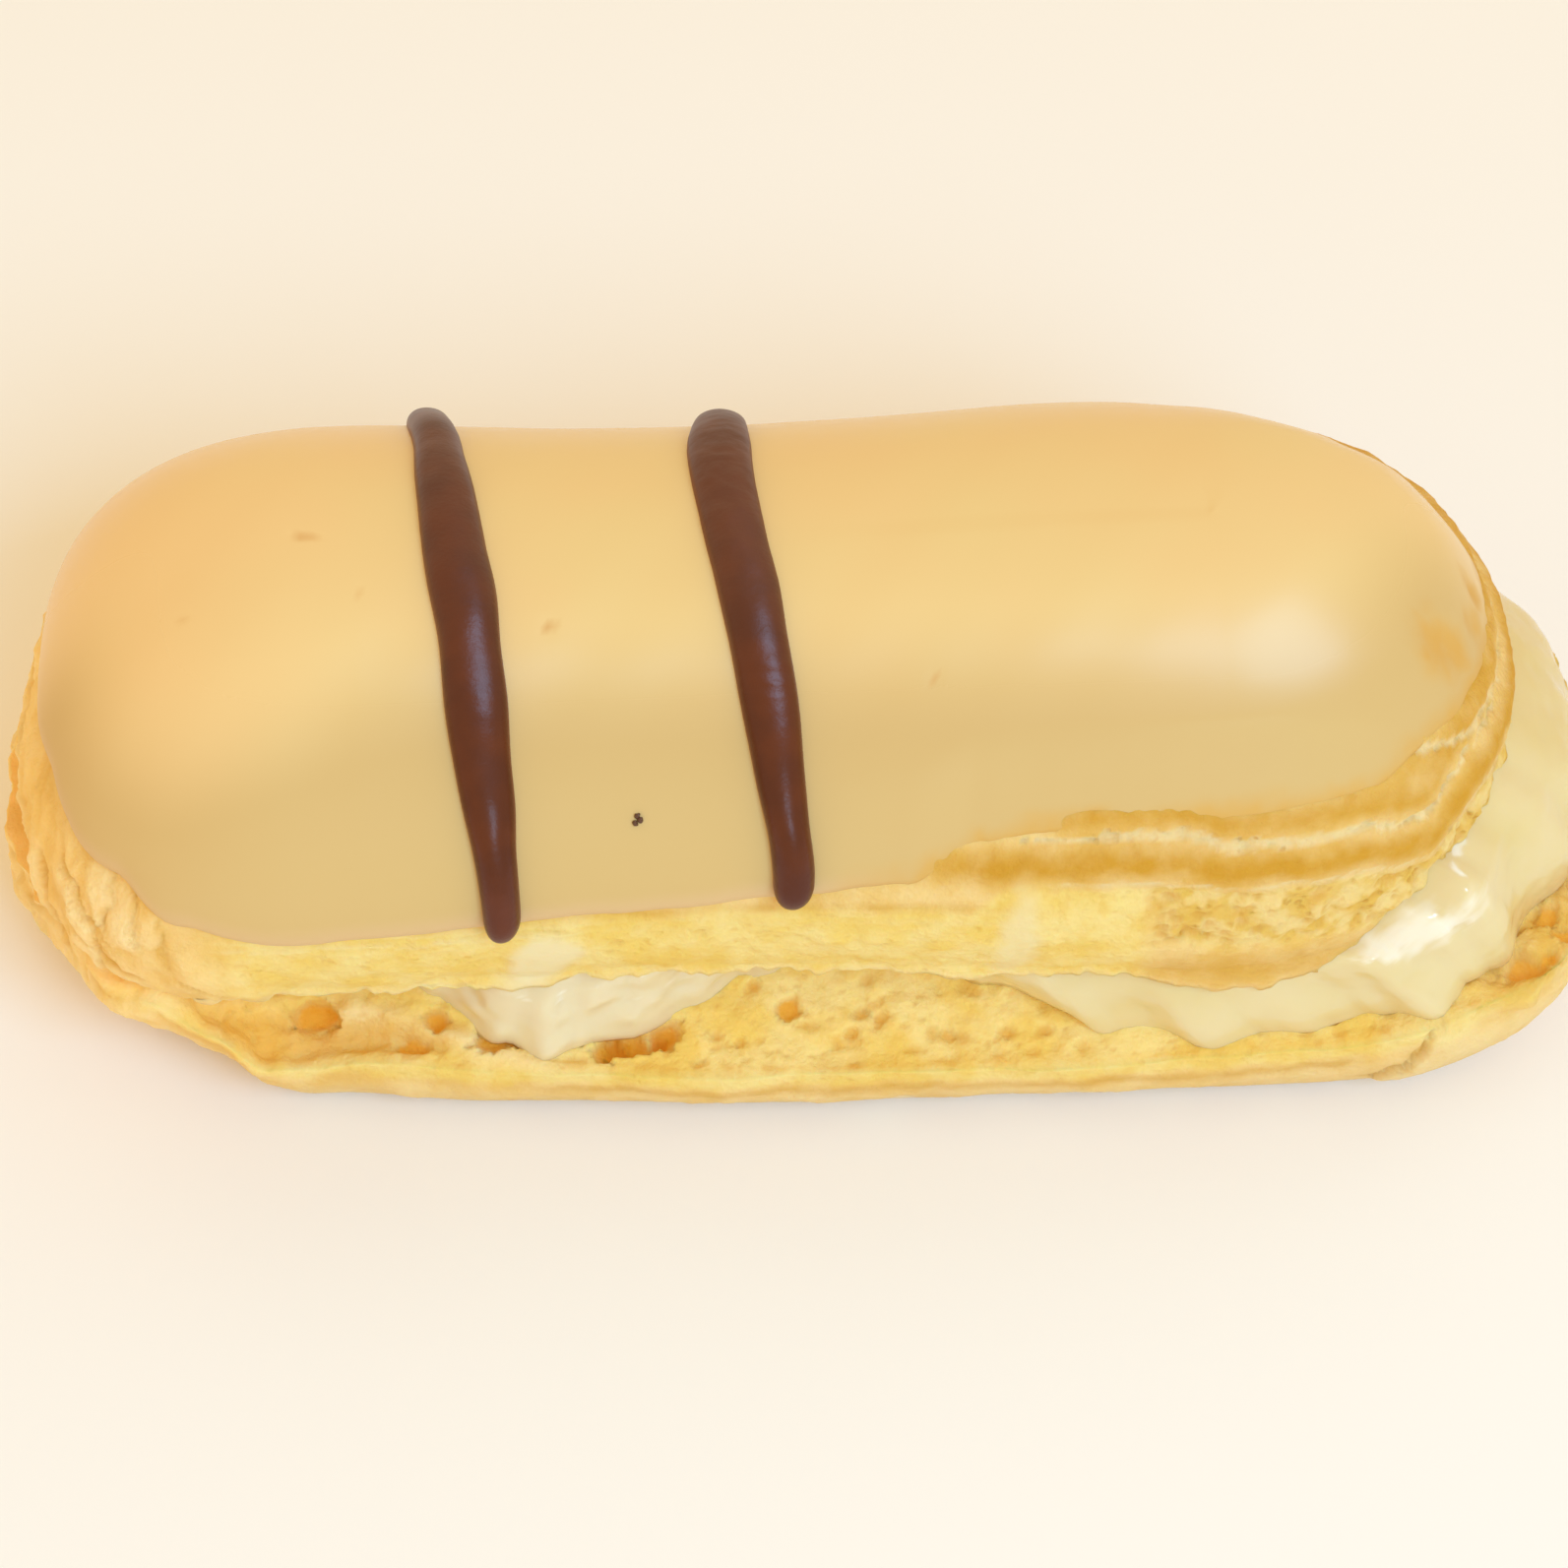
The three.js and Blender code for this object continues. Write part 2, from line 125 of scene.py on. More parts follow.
def stops_at(stops, turn):
    """Value at a turn of a closed run of stops, eased between neighbours."""
    at = np.array([s[0] for s in stops], float)
    value = np.array([s[1] for s in stops], float)
    t = np.mod(turn, 1.0)
    after = np.searchsorted(at, t, side="right")
    before = after - 1
    end = np.where(after < len(at), at[after % len(at)], at[0] + 1)
    start = np.where(before < 0, at[-1] - 1, at[before])
    share = (t - start) / (end - start)
    return lerp(value[before], value[after % len(at)], share * share * (3 - 2 * share))


def signed(turn):
    """Turns counted from the start of the front run, negative on the left end."""
    return np.where(turn > 0.6, turn - 1, turn)


def near_turn(turn, start, full, fade, end):
    """1 between two turns, eased to 0 outside."""
    t = signed(turn) if start < 0 else turn
    return ramp(start, full, t) * (1 - ramp(fade, end, t))


def corner_value(cell, seed):
    """A repeatable value from 0 to 1 at whole-number corners."""
    mixed = cell[..., 0] * 374761393 + cell[..., 1] * 668265263 + cell[..., 2] * 1103515245
    mixed = (mixed + seed * 974634777) & 0xFFFFFFFF
    mixed = ((mixed ^ (mixed >> 13)) * 1274126177) & 0xFFFFFFFF
    return ((mixed ^ (mixed >> 16)) & 0xFFFF) / 65535.0


def grain(points, size, seed):
    """Smooth noise from -1 to 1 whose grains have a size in millimetres."""
    place = np.asarray(points, float) / size
    cell = np.floor(place).astype(np.int64)
    part = place - cell
    part = part * part * (3 - 2 * part)
    total = 0.0
    for corner in range(8):
        step = np.array([corner & 1, (corner >> 1) & 1, corner >> 2])
        weight = np.where(step, part, 1 - part).prod(-1)
        total = total + weight * corner_value(cell + step, seed)
    return 2 * total - 1


def rough(points, size, seed, octaves=3):
    """Layered noise, each layer half as large and half as strong as the one before."""
    return sum(grain(points, size / 2**k, seed + 31 * k) / 2**k for k in range(octaves))


def creases(points, size, seed):
    """Noise from 0 to 1 with sharp raised lines."""
    slow, quick = grain(points, size, seed), grain(points, size / 2.3, seed + 7)
    return np.clip(1 - np.abs(slow + 0.4 * quick), 0, 1) ** 2


# The shell's forms
def lumps(x, y, z):
    return (0.5 * np.sin(0.21 * x + 0.35 * z + 1.1) * np.cos(0.24 * y - 0.6)
            + 0.3 * np.sin(0.47 * x - 0.39 * y + 2.3) + 0.2 * np.sin(0.83 * x + 0.71 * z - 0.55 * y))


def plan(turn, reach, body):
    """A point of an oval drawn at a reach round a straight spine, after that spine's own x."""
    turn, reach = np.broadcast_arrays(np.mod(np.asarray(turn, float), 1.0), np.asarray(reach, float))
    quarter = np.floor(turn * 4).astype(int) % 4
    along = turn * 4 - np.floor(turn * 4)
    left, right = body["left"], body["right"]
    spine = np.choose(quarter, [lerp(left, right, along), right, lerp(right, left, along), left])
    half = np.pi / 2
    angle = np.choose(quarter, [-half, -half + np.pi * along, half, half + np.pi * along])
    power_right = np.where(along < 0.5, body["blunt_front"], body["blunt_right"])
    power = np.where(quarter == 1, power_right, body["blunt_left"])
    c, s = np.cos(angle), np.sin(angle)
    norm = (np.abs(c) ** power + np.abs(s) ** power) ** (1 / power)
    return spine, spine + reach * c / norm, reach * s / norm


def gape(x, y):
    """How far the cream props the lid up."""
    return GAPE["lift"] * ramp(GAPE["shut_x"], GAPE["open_x"], x) * (HINGE_Y - y) / (2 * HINGE_Y)


def swell(spine):
    return 1 + sum(share * bell(spine, x, spread) for x, share, spread in SWELLS)


def lid_profile(drop):
    """Reach, height and outward normal of the lid's outside at a drop from the crown."""
    half, spring, crown, full = LID["half_width"], LID["spring"], LID["crown"], LID["fullness"]
    down = np.clip((drop - 1) / LID["band_share"], 0, None)
    angle = np.clip(drop, 0, 1) * np.pi / 2
    across = np.sin(angle) ** (2 / full)
    rise = np.clip(np.cos(angle), 0, 1) ** (2 / full)
    out, up = across ** (full - 1) / half, rise ** (full - 1) / crown
    length = np.hypot(out, up)
    band = drop > 1
    return (np.where(band, half - LID["undercut"] * np.minimum(down, 1) ** 2, half * across),
            np.where(band, spring - LID["band"] * down, spring + crown * rise),
            np.where(band, 0.96, out / length), np.where(band, -0.28 * np.minimum(down, 1), up / length))


def dome_point(turn, drop, lift):
    """A point of the lid's dome and side band, lifted off along its normal."""
    turn, drop = np.broadcast_arrays(np.asarray(turn, float), np.asarray(drop, float))
    spine, _, _ = plan(turn, 0, LID)
    size = swell(spine)
    at_end = bell(turn, LID_SHORT["turn"], LID_SHORT["spread"])
    short = 1 - LID_SHORT["share"] * at_end * ramp(0.1, 0.6, drop)
    reach, height, out, up = lid_profile(drop)
    _, x, y = plan(turn, np.maximum(0, reach * size * short + out * lift), LID)
    z = LID["spring"] + (height - LID["spring"]) * size + up * lift
    return np.stack([x, y, z + LID["lumps"] * lumps(x, y, 0) + gape(x, y)], -1)


def slit_roof(turn, share, arch):
    """A point under the lid, at a share of its reach, where the slit is highest."""
    spine, _, _ = plan(turn, 0, LID)
    _, x, y = plan(turn, share * LID["half_width"] * swell(spine), LID)
    return np.stack([x, y, LID["spring"] - LID["band"] + arch + gape(x, y)], -1)


def tray_top(turn, share):
    """A point of the crumb slope of the lower half."""
    full = TRAY["half_width"] * stops_at(TRAY_TUCK, turn)
    _, x, y = plan(turn, full * share, TRAY)
    inward = ramp(0, TRAY["shoulder"], TRAY["half_width"] * (1 - share))
    z = lerp(stops_at(TRAY_RIM, turn), TRAY["floor"], inward)
    return np.stack(np.broadcast_arrays(x, y, z), -1)


def along_slit(turn):
    """Places in millimetres along a line round the shell, for noise that shapes an edge."""
    return np.stack([turn * MM_PER_TURN, turn * 0, turn * 0], -1)


# Meshes from grids of rows and columns
def grid_normals(points):
    """Outward normals of a grid whose columns run round and whose rows run up the outside."""
    across = np.roll(points, -1, 1) - np.roll(points, 1, 1)
    along = np.gradient(points, axis=0)
    normal = np.cross(across, along)
    return normal / np.maximum(np.linalg.norm(normal, axis=-1, keepdims=True), 1e-9)


def round_faces(rows, columns):
    """Quads of a grid that closes on itself round its columns, with a face over each open end."""
    index = np.arange(rows * columns).reshape(rows, columns)
    after = np.roll(index, -1, 1)
    quads = np.stack([index[:-1], after[:-1], after[1:], index[1:]], -1).reshape(-1, 4)
    return quads.tolist() + [index[0][::-1].tolist(), index[-1].tolist()]


def spine_faces(rows, columns):
    """As round_faces, but both end rows fold onto a straight spine and are sewn shut along it."""
    index = np.arange(rows * columns).reshape(rows, columns)
    quarter = columns // 4
    column = np.arange(columns)
    fold = np.where(column <= quarter, column,
                    np.where(column <= 2 * quarter, quarter,
                             np.where(column <= 3 * quarter, 3 * quarter - column, 0)))
    index[0] = index[0][fold]
    index[-1] = index[-1][fold]
    after = np.roll(index, -1, 1)
    quads = np.stack([index[:-1], after[:-1], after[1:], index[1:]], -1).reshape(-1, 4)
    faces = []
    for quad in quads.tolist():
        corners = list(dict.fromkeys(quad))
        if len(corners) > 2:
            faces.append(corners)
    return faces


def used_points(points, faces, values):
    """Leaves out the points that no face uses."""
    used = np.unique(np.concatenate([np.asarray(face) for face in faces]))
    number = np.full(len(points), -1)
    number[used] = np.arange(len(used))
    return points[used], [number[face].tolist() for face in faces], {k: v[used] for k, v in values.items()}


def piece(name, parts, node, material):
    """One mesh object from parts, each its points in millimetres, faces and values per point."""
    points, faces, values = [], [], {}
    start = 0
    names = sorted({key for part in parts for key in part[2]})
    for part_points, part_faces, part_values in parts:
        points.append(part_points)
        faces += [[corner + start for corner in face] for face in part_faces]
        for key in names:
            values.setdefault(key, []).append(part_values.get(key, np.zeros(len(part_points))))
        start += len(part_points)
    mesh = bpy.data.meshes.new(name)
    mesh.from_pydata(((np.concatenate(points) + CENTRE) * MM).tolist(), [], faces)
    for key in names:
        held = mesh.attributes.new(key, "FLOAT", "POINT")
        held.data.foreach_set("value", np.concatenate(values[key]).astype(np.float32))
    mesh.shade_smooth()
    mesh.validate()
    made = bpy.data.objects.new(name, mesh)
    bpy.context.scene.collection.objects.link(made)
    mesh.materials.append(material)
    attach(made, "root")
    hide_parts(node)
    return made


# Bubbles in torn crumb
def pits(points, centres, radii, widths, depth, seed):
    """How deep uneven bowls are sunk into a surface, and how far inside one each point is, from 0 to 1."""
    sunk = np.zeros(points.shape[:-1])
    inside = np.zeros(points.shape[:-1])
    uneven = 1 + 0.5 * rough(points, 1.2, seed, 3)
    for centre, radius, wide in zip(centres, radii, widths):
        apart = (points - centre) / (radius * np.array([wide, 1, 1]))
        away = np.sqrt((apart**2).sum(-1)) * uneven
        sunk = np.maximum(sunk, depth * radius * np.sqrt(np.clip(1 - away**2, 0, None)))
        inside = np.maximum(inside, ramp(1.1, 0.4, away))
    return sunk, inside


def bubbles(draw, count, turns, places, radii, small, widths, outward=1):
    """Turns, shares or drops, radii and widths along the slit, each drawn between two ends. Small and outward
    are powers that favour small radii and places further out."""
    return (lerp(*turns, draw.random(count)), lerp(*places, draw.random(count) ** outward),
            lerp(*radii, draw.random(count) ** small), lerp(*widths, draw.random(count)))


# Choux shell: one closed skin from the foot up the wall, in over the torn crumb of the lower half, back out
# under the lid and up over its side band to the crown. Its relief is in millimetres.
SHELL_COLUMNS = 640
CRUMB_SEED = 11
WALL_UP = [0.04, 0.16, 0.38, 0.52, 0.64, 0.76, 0.88, 1]  # parts of the rim's height
WALL_SHARE = [0.8, 0.86, 0.92, 0.955, 0.98, 0.99, 0.997, 1]  # the wall's share of the reach there
# Rows up the wall, in over the slope by share, out under the lid, up its side band and by drop to the crown
WALL_ROWS = np.concatenate([[0], np.linspace(WALL_UP[0], 1, 20)])[:, None]
SLOPE_ROWS = np.concatenate([np.linspace(0.968, 0.66, 30), np.linspace(0.63, 0.45, 5)])[:, None]
UNDER_ROWS = (0, 0.3, 0.6, 0.78, 0.88, 0.94, 0.975)
BAND_ROWS = np.linspace(0, 1, 26)[:, None]
DOME_ROWS = np.concatenate([np.linspace(0.987, 0.6, 34), np.linspace(0.585, 0.4, 8),
                            np.linspace(0.34, 0.02, 6)])
LID_RIM = [(0.262, 0.03, 0.06), (0.965, 0.013, -0.045)]  # where the lid's rim hangs lower: turn, spread, drop
CRUMB_BUBBLES = dict(count=300, turns=(-0.03, 0.30), places=(0.7, 0.985), outward=0.8, radii=(0.2, 0.62),
                     small=2.8, widths=(1, 2.0))
RIM_BUBBLES = dict(count=46, turns=(0.295, 0.47), places=(0.865, 0.975), radii=(0.35, 1.25), small=1.8,
                   widths=(0.8, 1.7))
STRIP_BUBBLES = dict(count=130, turns=(0.222, 0.33), places=(0.875, 1.08), radii=(0.2, 0.6), small=2.2,
                     widths=(1, 1.7))
BAND_BUBBLES = dict(count=70, turns=(-0.035, 0.2), places=(0.99, 1.23), radii=(0.12, 0.34), small=2,
                    widths=(1, 2.4))
HOLES = [  # large holes in the crumb: turn, share, radius, width along the slit, depth in radii
    (0.9995, 0.822, 1.15, 1.2, 1.69), (0.0245, 0.91, 0.8, 1.6, 1.69), (0.031, 0.835, 1.0, 1.0, 1.56),
    (0.045, 0.885, 0.75, 1.9, 1.69), (0.0545, 0.87, 0.85, 1.8, 1.82), (0.0735, 0.9, 0.95, 1.7, 2.08),
    (0.08, 0.885, 1.25, 1.8, 2.21), (0.088, 0.858, 1.1, 1.6, 1.95), (0.1195, 0.784, 0.75, 1.2, 1.3),
    (0.1377, 0.806, 0.55, 1.1, 1.3), (0.142, 0.824, 0.5, 1.2, 1.3), (0.135, 0.863, 0.45, 1.3, 1.3),
    (0.111, 0.716, 0.55, 1.2, 1.3), (0.096, 0.953, 0.5, 1.3, 1.3), (0.135, 0.964, 0.45, 1.6, 1.3),
    (0.1015, 0.867, 0.4, 1.2, 1.3), (0.107, 0.881, 0.45, 1.2, 1.3), (0.174, 0.875, 0.5, 1.2, 1.3),
    (0.183, 0.875, 0.55, 1.3, 1.3), (0.159, 0.874, 0.45, 1.4, 1.3), (0.0635, 0.985, 0.5, 1.5, 1.3),
]
HOLLOW = dict(turn=-0.002, half_turn=0.041, share=0.865, left_share=0.9, half_share=0.085)
FILM = dict(turn=0.013, half_turn=0.011, share=0.825, half_share=0.03)  # pale dough in the hollow
WET_RIDGE = dict(turn=0.036, half_turn=0.0085, share=0.87, lean=0.2)  # beside the hollow
TORN_LINE = 0.88  # how high on the wall its crust is torn
BULGE = dict(rise=1.25, height=19, half_height=8.5)  # how the closed end swells out
FLAKES_FADE = (-53, -37)  # x between which the closed end's flakes fade out
FOOT_SMEAR = dict(turn=0.1436, half_turn=0.0085, up=0.25, half_up=0.13)  # thin cream on the foot
# Drop and spread of the ridges and lines on the right
PIPING = dict(first=(0.668, 0.034), second=(0.795, 0.05), thin_line=(0.856, 0.006), lip=(1.17, 0.06))
FRONT_LINE = (0.94, 0.018)  # drop and spread of the golden line along the front
LAYERS = dict(drop=0.985, half_drop=0.03, pitch=0.03)  # in the torn crumb along the front
CRACK_DROP = 0.722  # the crack between the ridges, and its half width in drop by turn
CRACK_TURN = [0.185, 0.2, 0.22, 0.25, 0.28, 0.3, 0.33, 0.42]
CRACK_WIDE = [0, 0.006, 0.012, 0.017, 0.013, 0.008, 0.005, 0]
SHORT_CRACK_TURN = [0.29, 0.305, 0.315, 0.326, 0.36]  # a short crack above them, by turn and drop
SHORT_CRACK_DROP = [0.59, 0.65, 0.69, 0.722, 0.74]
SHORT_CRACK_WIDE = 0.011
BACK_GROOVES = dict(first=0.7, pitch=0.135)
WASHES = [  # thin cream on the lid's side: turn and drop of the middle, half sizes, lean, strength
    (0.0485, 1.13, 0.0115, 0.16, 0.03, 1.0), (0.1885, 1.06, 0.0075, 0.2, 0.01, 0.7),
]
SEAMS = [  # tears in the closed end's flakes: turn and height of both ends, how far one side stands up
    (0.9375, 28.8, 0.9405, 24.2, 0.4), (0.922, 26.2, 0.937, 23.8, 0.35), (0.9437, 28.6, 0.949, 24.2, 0.4),
    (0.951, 27.2, 0.9545, 22.2, 0.35), (0.9363, 24.1, 0.9375, 18.2, 0.3), (0.9106, 23.2, 0.9235, 18.6, 0.4),
    (0.84, 21.5, 0.915, 17.6, 0.5), (0.79, 25.0, 0.9, 21.8, 0.45), (0.87, 15.5, 0.945, 12.2, 0.45),
    (0.8, 17.5, 0.87, 13.0, 0.4), (0.925, 16.6, 0.955, 14.0, 0.3), (0.76, 20.0, 0.81, 17.0, 0.4),
    (0.955, 21.5, 0.966, 19.2, 0.25), (0.93, 21.6, 0.948, 20.6, 0.3),
]
FLAP = (0.2655, 3.6, 0.2815, 11.8, 0.7)  # the same for the flap of crust that is torn at the open end
SEAM_REACH, FLAP_REACH = 2.4, 6.0  # how far from a tear its raised side reaches
TEAR_WIDE = 0.25


def shell_turns():
    """Turns of the shell's columns, close together where the slit and the torn crumb show."""
    fine = np.linspace(0, 1, 8001)
    weight = 1 + 4 * (1 - ramp(0.36, 0.46, fine) + ramp(0.84, 0.9, fine))
    total = np.concatenate([[0], np.cumsum((weight[1:] + weight[:-1]) / 2)])
    return np.interp(np.arange(SHELL_COLUMNS) / SHELL_COLUMNS * total[-1], total, fine)


class ShellSkin:
    """The shell's rows of points from the foot to the crown, and the relief and looks laid on them."""

    def __init__(self):
        self.turn = shell_turns()
        self.shut = stops_at(SHUT, self.turn)
        self.open_slit = 1 - self.shut
        self.edge = along_slit(self.turn)
        wall, lid = self.make_wall(), self.make_lid()
        slope = tray_top(self.turn, SLOPE_ROWS)
        roof = slit_roof(self.turn, 0.45, LID["arch"])
        under = np.stack([lerp(roof, lid[0], k) for k in UNDER_ROWS])
        groove = np.concatenate([slope, under])
        step = (np.arange(len(groove)) + 1)[:, None, None] / (len(groove) + 1)
        groove = lerp(groove, lerp(wall[-1], lid[0], step), self.shut[:, None])
        self.points = np.concatenate([wall, groove, lid])
        self.wall_rows = slice(0, len(wall))
        self.slope_rows = slice(len(wall), len(wall) + len(slope))
        self.under_rows = slice(self.slope_rows.stop, self.slope_rows.stop + len(under))
        self.lid_rows = slice(self.under_rows.stop, len(self.points))
        self.normal = self.make_normals(slice(self.slope_rows.start, self.under_rows.stop), step)
        size = self.points.shape[:2]
        self.relief, self.glow, self.crumb, self.golden = (np.zeros(size) for _ in range(4))
        self.pale, self.hole, self.cracked, self.wash = (np.zeros(size) for _ in range(4))

    def make_wall(self):
        """The lower half's wall from the foot to the rim, undercut at the front left corner."""
        turn = self.turn
        rim = stops_at(TRAY_RIM, turn)
        full = TRAY["half_width"] * stops_at(TRAY_TUCK, turn)
        leaning = TRAY["lean"] * ramp(TRAY["open_rim"], TRAY["shut_rim"], rim)
        undercut = TRAY["undercut"] * near_turn(turn, *UNDERCUT_CORNER)
        foot = plan(turn, full * TRAY["foot_share"] * (1 - undercut), TRAY)[1:]
        rows = [np.stack([*foot, turn * 0], -1)]
        for up in WALL_ROWS[1:, 0]:
            reach = full * (np.interp(up, WALL_UP, WALL_SHARE) - leaning * ramp(0.5, 1, up))
            reach = reach * (1 - undercut * (1 - up))
            height = rim * up * lerp(1, TRAY["shut_height"], self.shut)
            _, x, y = plan(turn, reach, TRAY)
            _, x, y = plan(turn, reach + TRAY["lumps"] * lumps(x, y, height) * up, TRAY)
            rows.append(np.stack([x, y, height], -1))
        return np.stack(rows)

    def make_lid(self):
        """The lid from its ragged lower rim to the crown."""
        edge = self.edge
        ragged = 0.35 * rough(edge, 9, 3) + 0.25 * rough(edge, 1.7, 5) + 0.2 * grain(edge, 0.8, 6)
        hang = lerp(1, 0.8, self.shut) - 0.16 * (ragged + 0.3) * self.open_slit
        self.foot_drop = 1 + LID["band_share"] * hang + 0.042 * self.open_slit
        for at, spread, lower in LID_RIM:
            self.foot_drop = self.foot_drop + lower * bell(self.turn, at, spread)
        dome = np.broadcast_to(DOME_ROWS[:, None], (len(DOME_ROWS), len(self.turn)))
        self.drop = np.concatenate([lerp(self.foot_drop, 1.0, BAND_ROWS), dome])
        return dome_point(self.turn, self.drop, 0)

    def make_normals(self, groove_rows, step):
        """Normals that run on from the wall to the lid where the slit is shut."""
        normal = grid_normals(self.points)
        folded = lerp(normal[groove_rows.start - 4], normal[groove_rows.stop + 3], step)
        normal[groove_rows] = lerp(normal[groove_rows], folded, self.shut[:, None])
        return normal

    def parts(self):
        """One mesh with the relief raised and the looks as values from 0 to 1."""
        points = self.points + self.normal * self.relief[..., None]
        points[..., 2] = np.maximum(points[..., 2], 0)
        looks = dict(glow=self.glow, crumb=self.crumb, golden=self.golden, pale=self.pale, hole=self.hole,
                     cracked=self.cracked, wash=self.wash)
        values = {key: np.clip(value, 0, 1).ravel() for key, value in looks.items()}
        return [(points.reshape(-1, 3), round_faces(*points.shape[:2]), values)]


def crumb_relief(points):
    return 0.3 * rough(points, 3.2, 21) + 0.2 * rough(points, 1.1, 22, 2)


def tear_crumb(skin, draw):
    """Torn crumb of the lower half, with a hollow by the slit's left tip and a wet ridge beside it."""
    rows, open_slit, share = skin.slope_rows, skin.open_slit, SLOPE_ROWS
    body, t = skin.points[rows], signed(skin.turn)
    hollow_share = lerp(HOLLOW["share"], HOLLOW["left_share"], ramp(0.0, -0.028, t))
    hollow = np.hypot((t - HOLLOW["turn"]) / HOLLOW["half_turn"],
                      (share - hollow_share) / HOLLOW["half_share"])
    hollow = ramp(1.15, 0.6, hollow + 0.22 * rough(body, 2.6, 20))
    film = bell(t, FILM["turn"], FILM["half_turn"]) * bell(share, FILM["share"], FILM["half_share"])
    ridge_turn = WET_RIDGE["turn"] + WET_RIDGE["lean"] * (share - WET_RIDGE["share"])
    ridge = bell(t, ridge_turn, WET_RIDGE["half_turn"]) * ramp(0.82, 0.88, share)
    by_rim = ramp(0.93, 0.97, share)
    skin.relief[rows] += crumb_relief(body) * open_slit * (1 - 0.8 * ridge) * (1 - 0.4 * by_rim)
    skin.relief[rows] += (-0.7 - 0.5 * rough(body, 1.8, 34)) * hollow * (1 - ridge) + 0.7 * film + 0.5 * ridge
    at_turn, at_share, radii, widths = bubbles(draw, **CRUMB_BUBBLES)
    sunk, inside = pits(body, tray_top(at_turn, at_share), radii, widths, 0.75, 35)
    skin.relief[rows] -= sunk * open_slit * (1 - ridge) * (1 - by_rim)
    hole = 0.4 * inside * open_slit * (1 - ridge)
    for at, at_share, radius, wide, depth in HOLES:
        sunk, inside = pits(body, [tray_top(np.array(at), np.array(at_share))], [radius], [wide], depth, 36)
        skin.relief[rows] -= sunk * (1 - by_rim)
        hole = np.maximum(hole, lerp(0.6, 0.9, ramp(0.55, 0.75, radius)) * inside)
    # The hole values tint pits and the hollow with painted shade, warmed to an amber painted glow
    skin.hole[rows] = np.maximum(hole, 0.58 * hollow * (1 - film) * (1 - ridge))
    skin.pale[rows] += 0.7 * film + 0.75 * ridge
    skin.crumb[rows] = open_slit
    skin.crumb[skin.under_rows] = open_slit
    skin.relief[skin.under_rows] += 0.25 * rough(skin.points[skin.under_rows], 1.6, 23) * open_slit


def tear_open_rim(skin, draw):
    """Torn golden rim of the open end, with bubbles in its crumb."""
    rim, rows = near_turn(skin.turn, *OPEN_RIM), skin.slope_rows
    uneven_rows = slice(rows.start - 4, rows.start + 12)
    skin.relief[uneven_rows] += 0.75 * rim * rough(skin.points[uneven_rows], 2.8, 24)
    skin.golden[rows.start - 2:rows.start + 14] += 0.85 * rim
    at_turn, at_share, radii, widths = bubbles(draw, **RIM_BUBBLES)
    sunk, inside = pits(skin.points[rows], tray_top(at_turn, at_share), radii, widths, 0.85, 37)
    skin.relief[rows] -= sunk * rim
    skin.hole[rows] = np.maximum(skin.hole[rows], 0.8 * inside * rim)


def bake_bottom(skin):
    """Bottom crust: crumb down to a ragged line, then a golden line and a pale foot with a smear of cream."""
    rows, turn, open_slit, up = skin.wall_rows, skin.turn, skin.open_slit, WALL_ROWS
    points = skin.points[rows]
    torn_line = TORN_LINE + 0.05 * rough(skin.edge, 7, 38) + 0.03 * grain(skin.edge, 1.6, 39)
    below = ramp(0.03, -0.03, up - torn_line)
    crust = 0.2 * rough(points, 3.5, 25) + 0.08 * rough(points, 0.9, 40, 2)
    torn = open_slit * ramp(0.6, 0.95, up)
    skin.relief[rows] += lerp(crust * ramp(0.1, 0.4, up), 0.6 * crumb_relief(points), torn)
    skin.relief[rows] += open_slit * 0.1 * below * ramp(0.3, 0.7, up)
    skin.crumb[rows] = open_slit * (1 - below)
    golden_line = bell(up, torn_line - 0.1, 0.06) * near_turn(turn, *GOLDEN_FOOT)
    skin.golden[rows] += open_slit * 0.65 * below * golden_line
    skin.pale[rows] += 0.4 * below * ramp(0.85, 0.6, up)
    smear = np.hypot((turn - FOOT_SMEAR["turn"]) / FOOT_SMEAR["half_turn"],
                     (up - FOOT_SMEAR["up"]) / FOOT_SMEAR["half_up"])
    skin.wash[rows] = 0.9 * ramp(1.1, 0.8, smear + 0.2 * rough(points, 1.5, 69, 2))


def flake_closed_end(skin):
    """Swells the closed left end out in flakes and steep wrinkles, and says where it is flaky."""
    points, height, around = skin.points, skin.points[..., 2], skin.turn * MM_PER_TURN
    low_on_lid = np.ones(points.shape[:2])
    low_on_lid[skin.lid_rows] = ramp(0.74, 0.9, skin.drop)
    bulge = BULGE["rise"] * near_turn(skin.turn, *CLOSED_END)
    skin.relief += bulge * bell(height, BULGE["height"], BULGE["half_height"]) * low_on_lid
    uneven_x = points[..., 0] + 3 * grain(points, 6, 48)
    flaky = (1 - ramp(*FLAKES_FADE, uneven_x)) * low_on_lid * ramp(1.5, 5, height)
    across, along = (around + 0.75 * height) / 2.6, (height - 0.4 * around) / 8
    steep = np.stack(np.broadcast_arrays(across, along, height * 0), -1)
    wrinkle = creases(steep + 0.4 * rough(points, 6, 49)[..., None], 1.0, 41)
    bumps = 0.35 * rough(points, 3.4, 26) + 0.18 * rough(points, 1.1, 27, 2)
    skin.relief += flaky * (0.5 * (wrinkle - 0.35) + bumps)
    skin.golden += flaky * (0.2 + 0.4 * ramp(0.3, 0.05, wrinkle) + 0.3 * rough(points, 5, 50))
    skin.pale += flaky * (0.3 * ramp(0.5, 0.9, wrinkle) + 0.15)
    return flaky


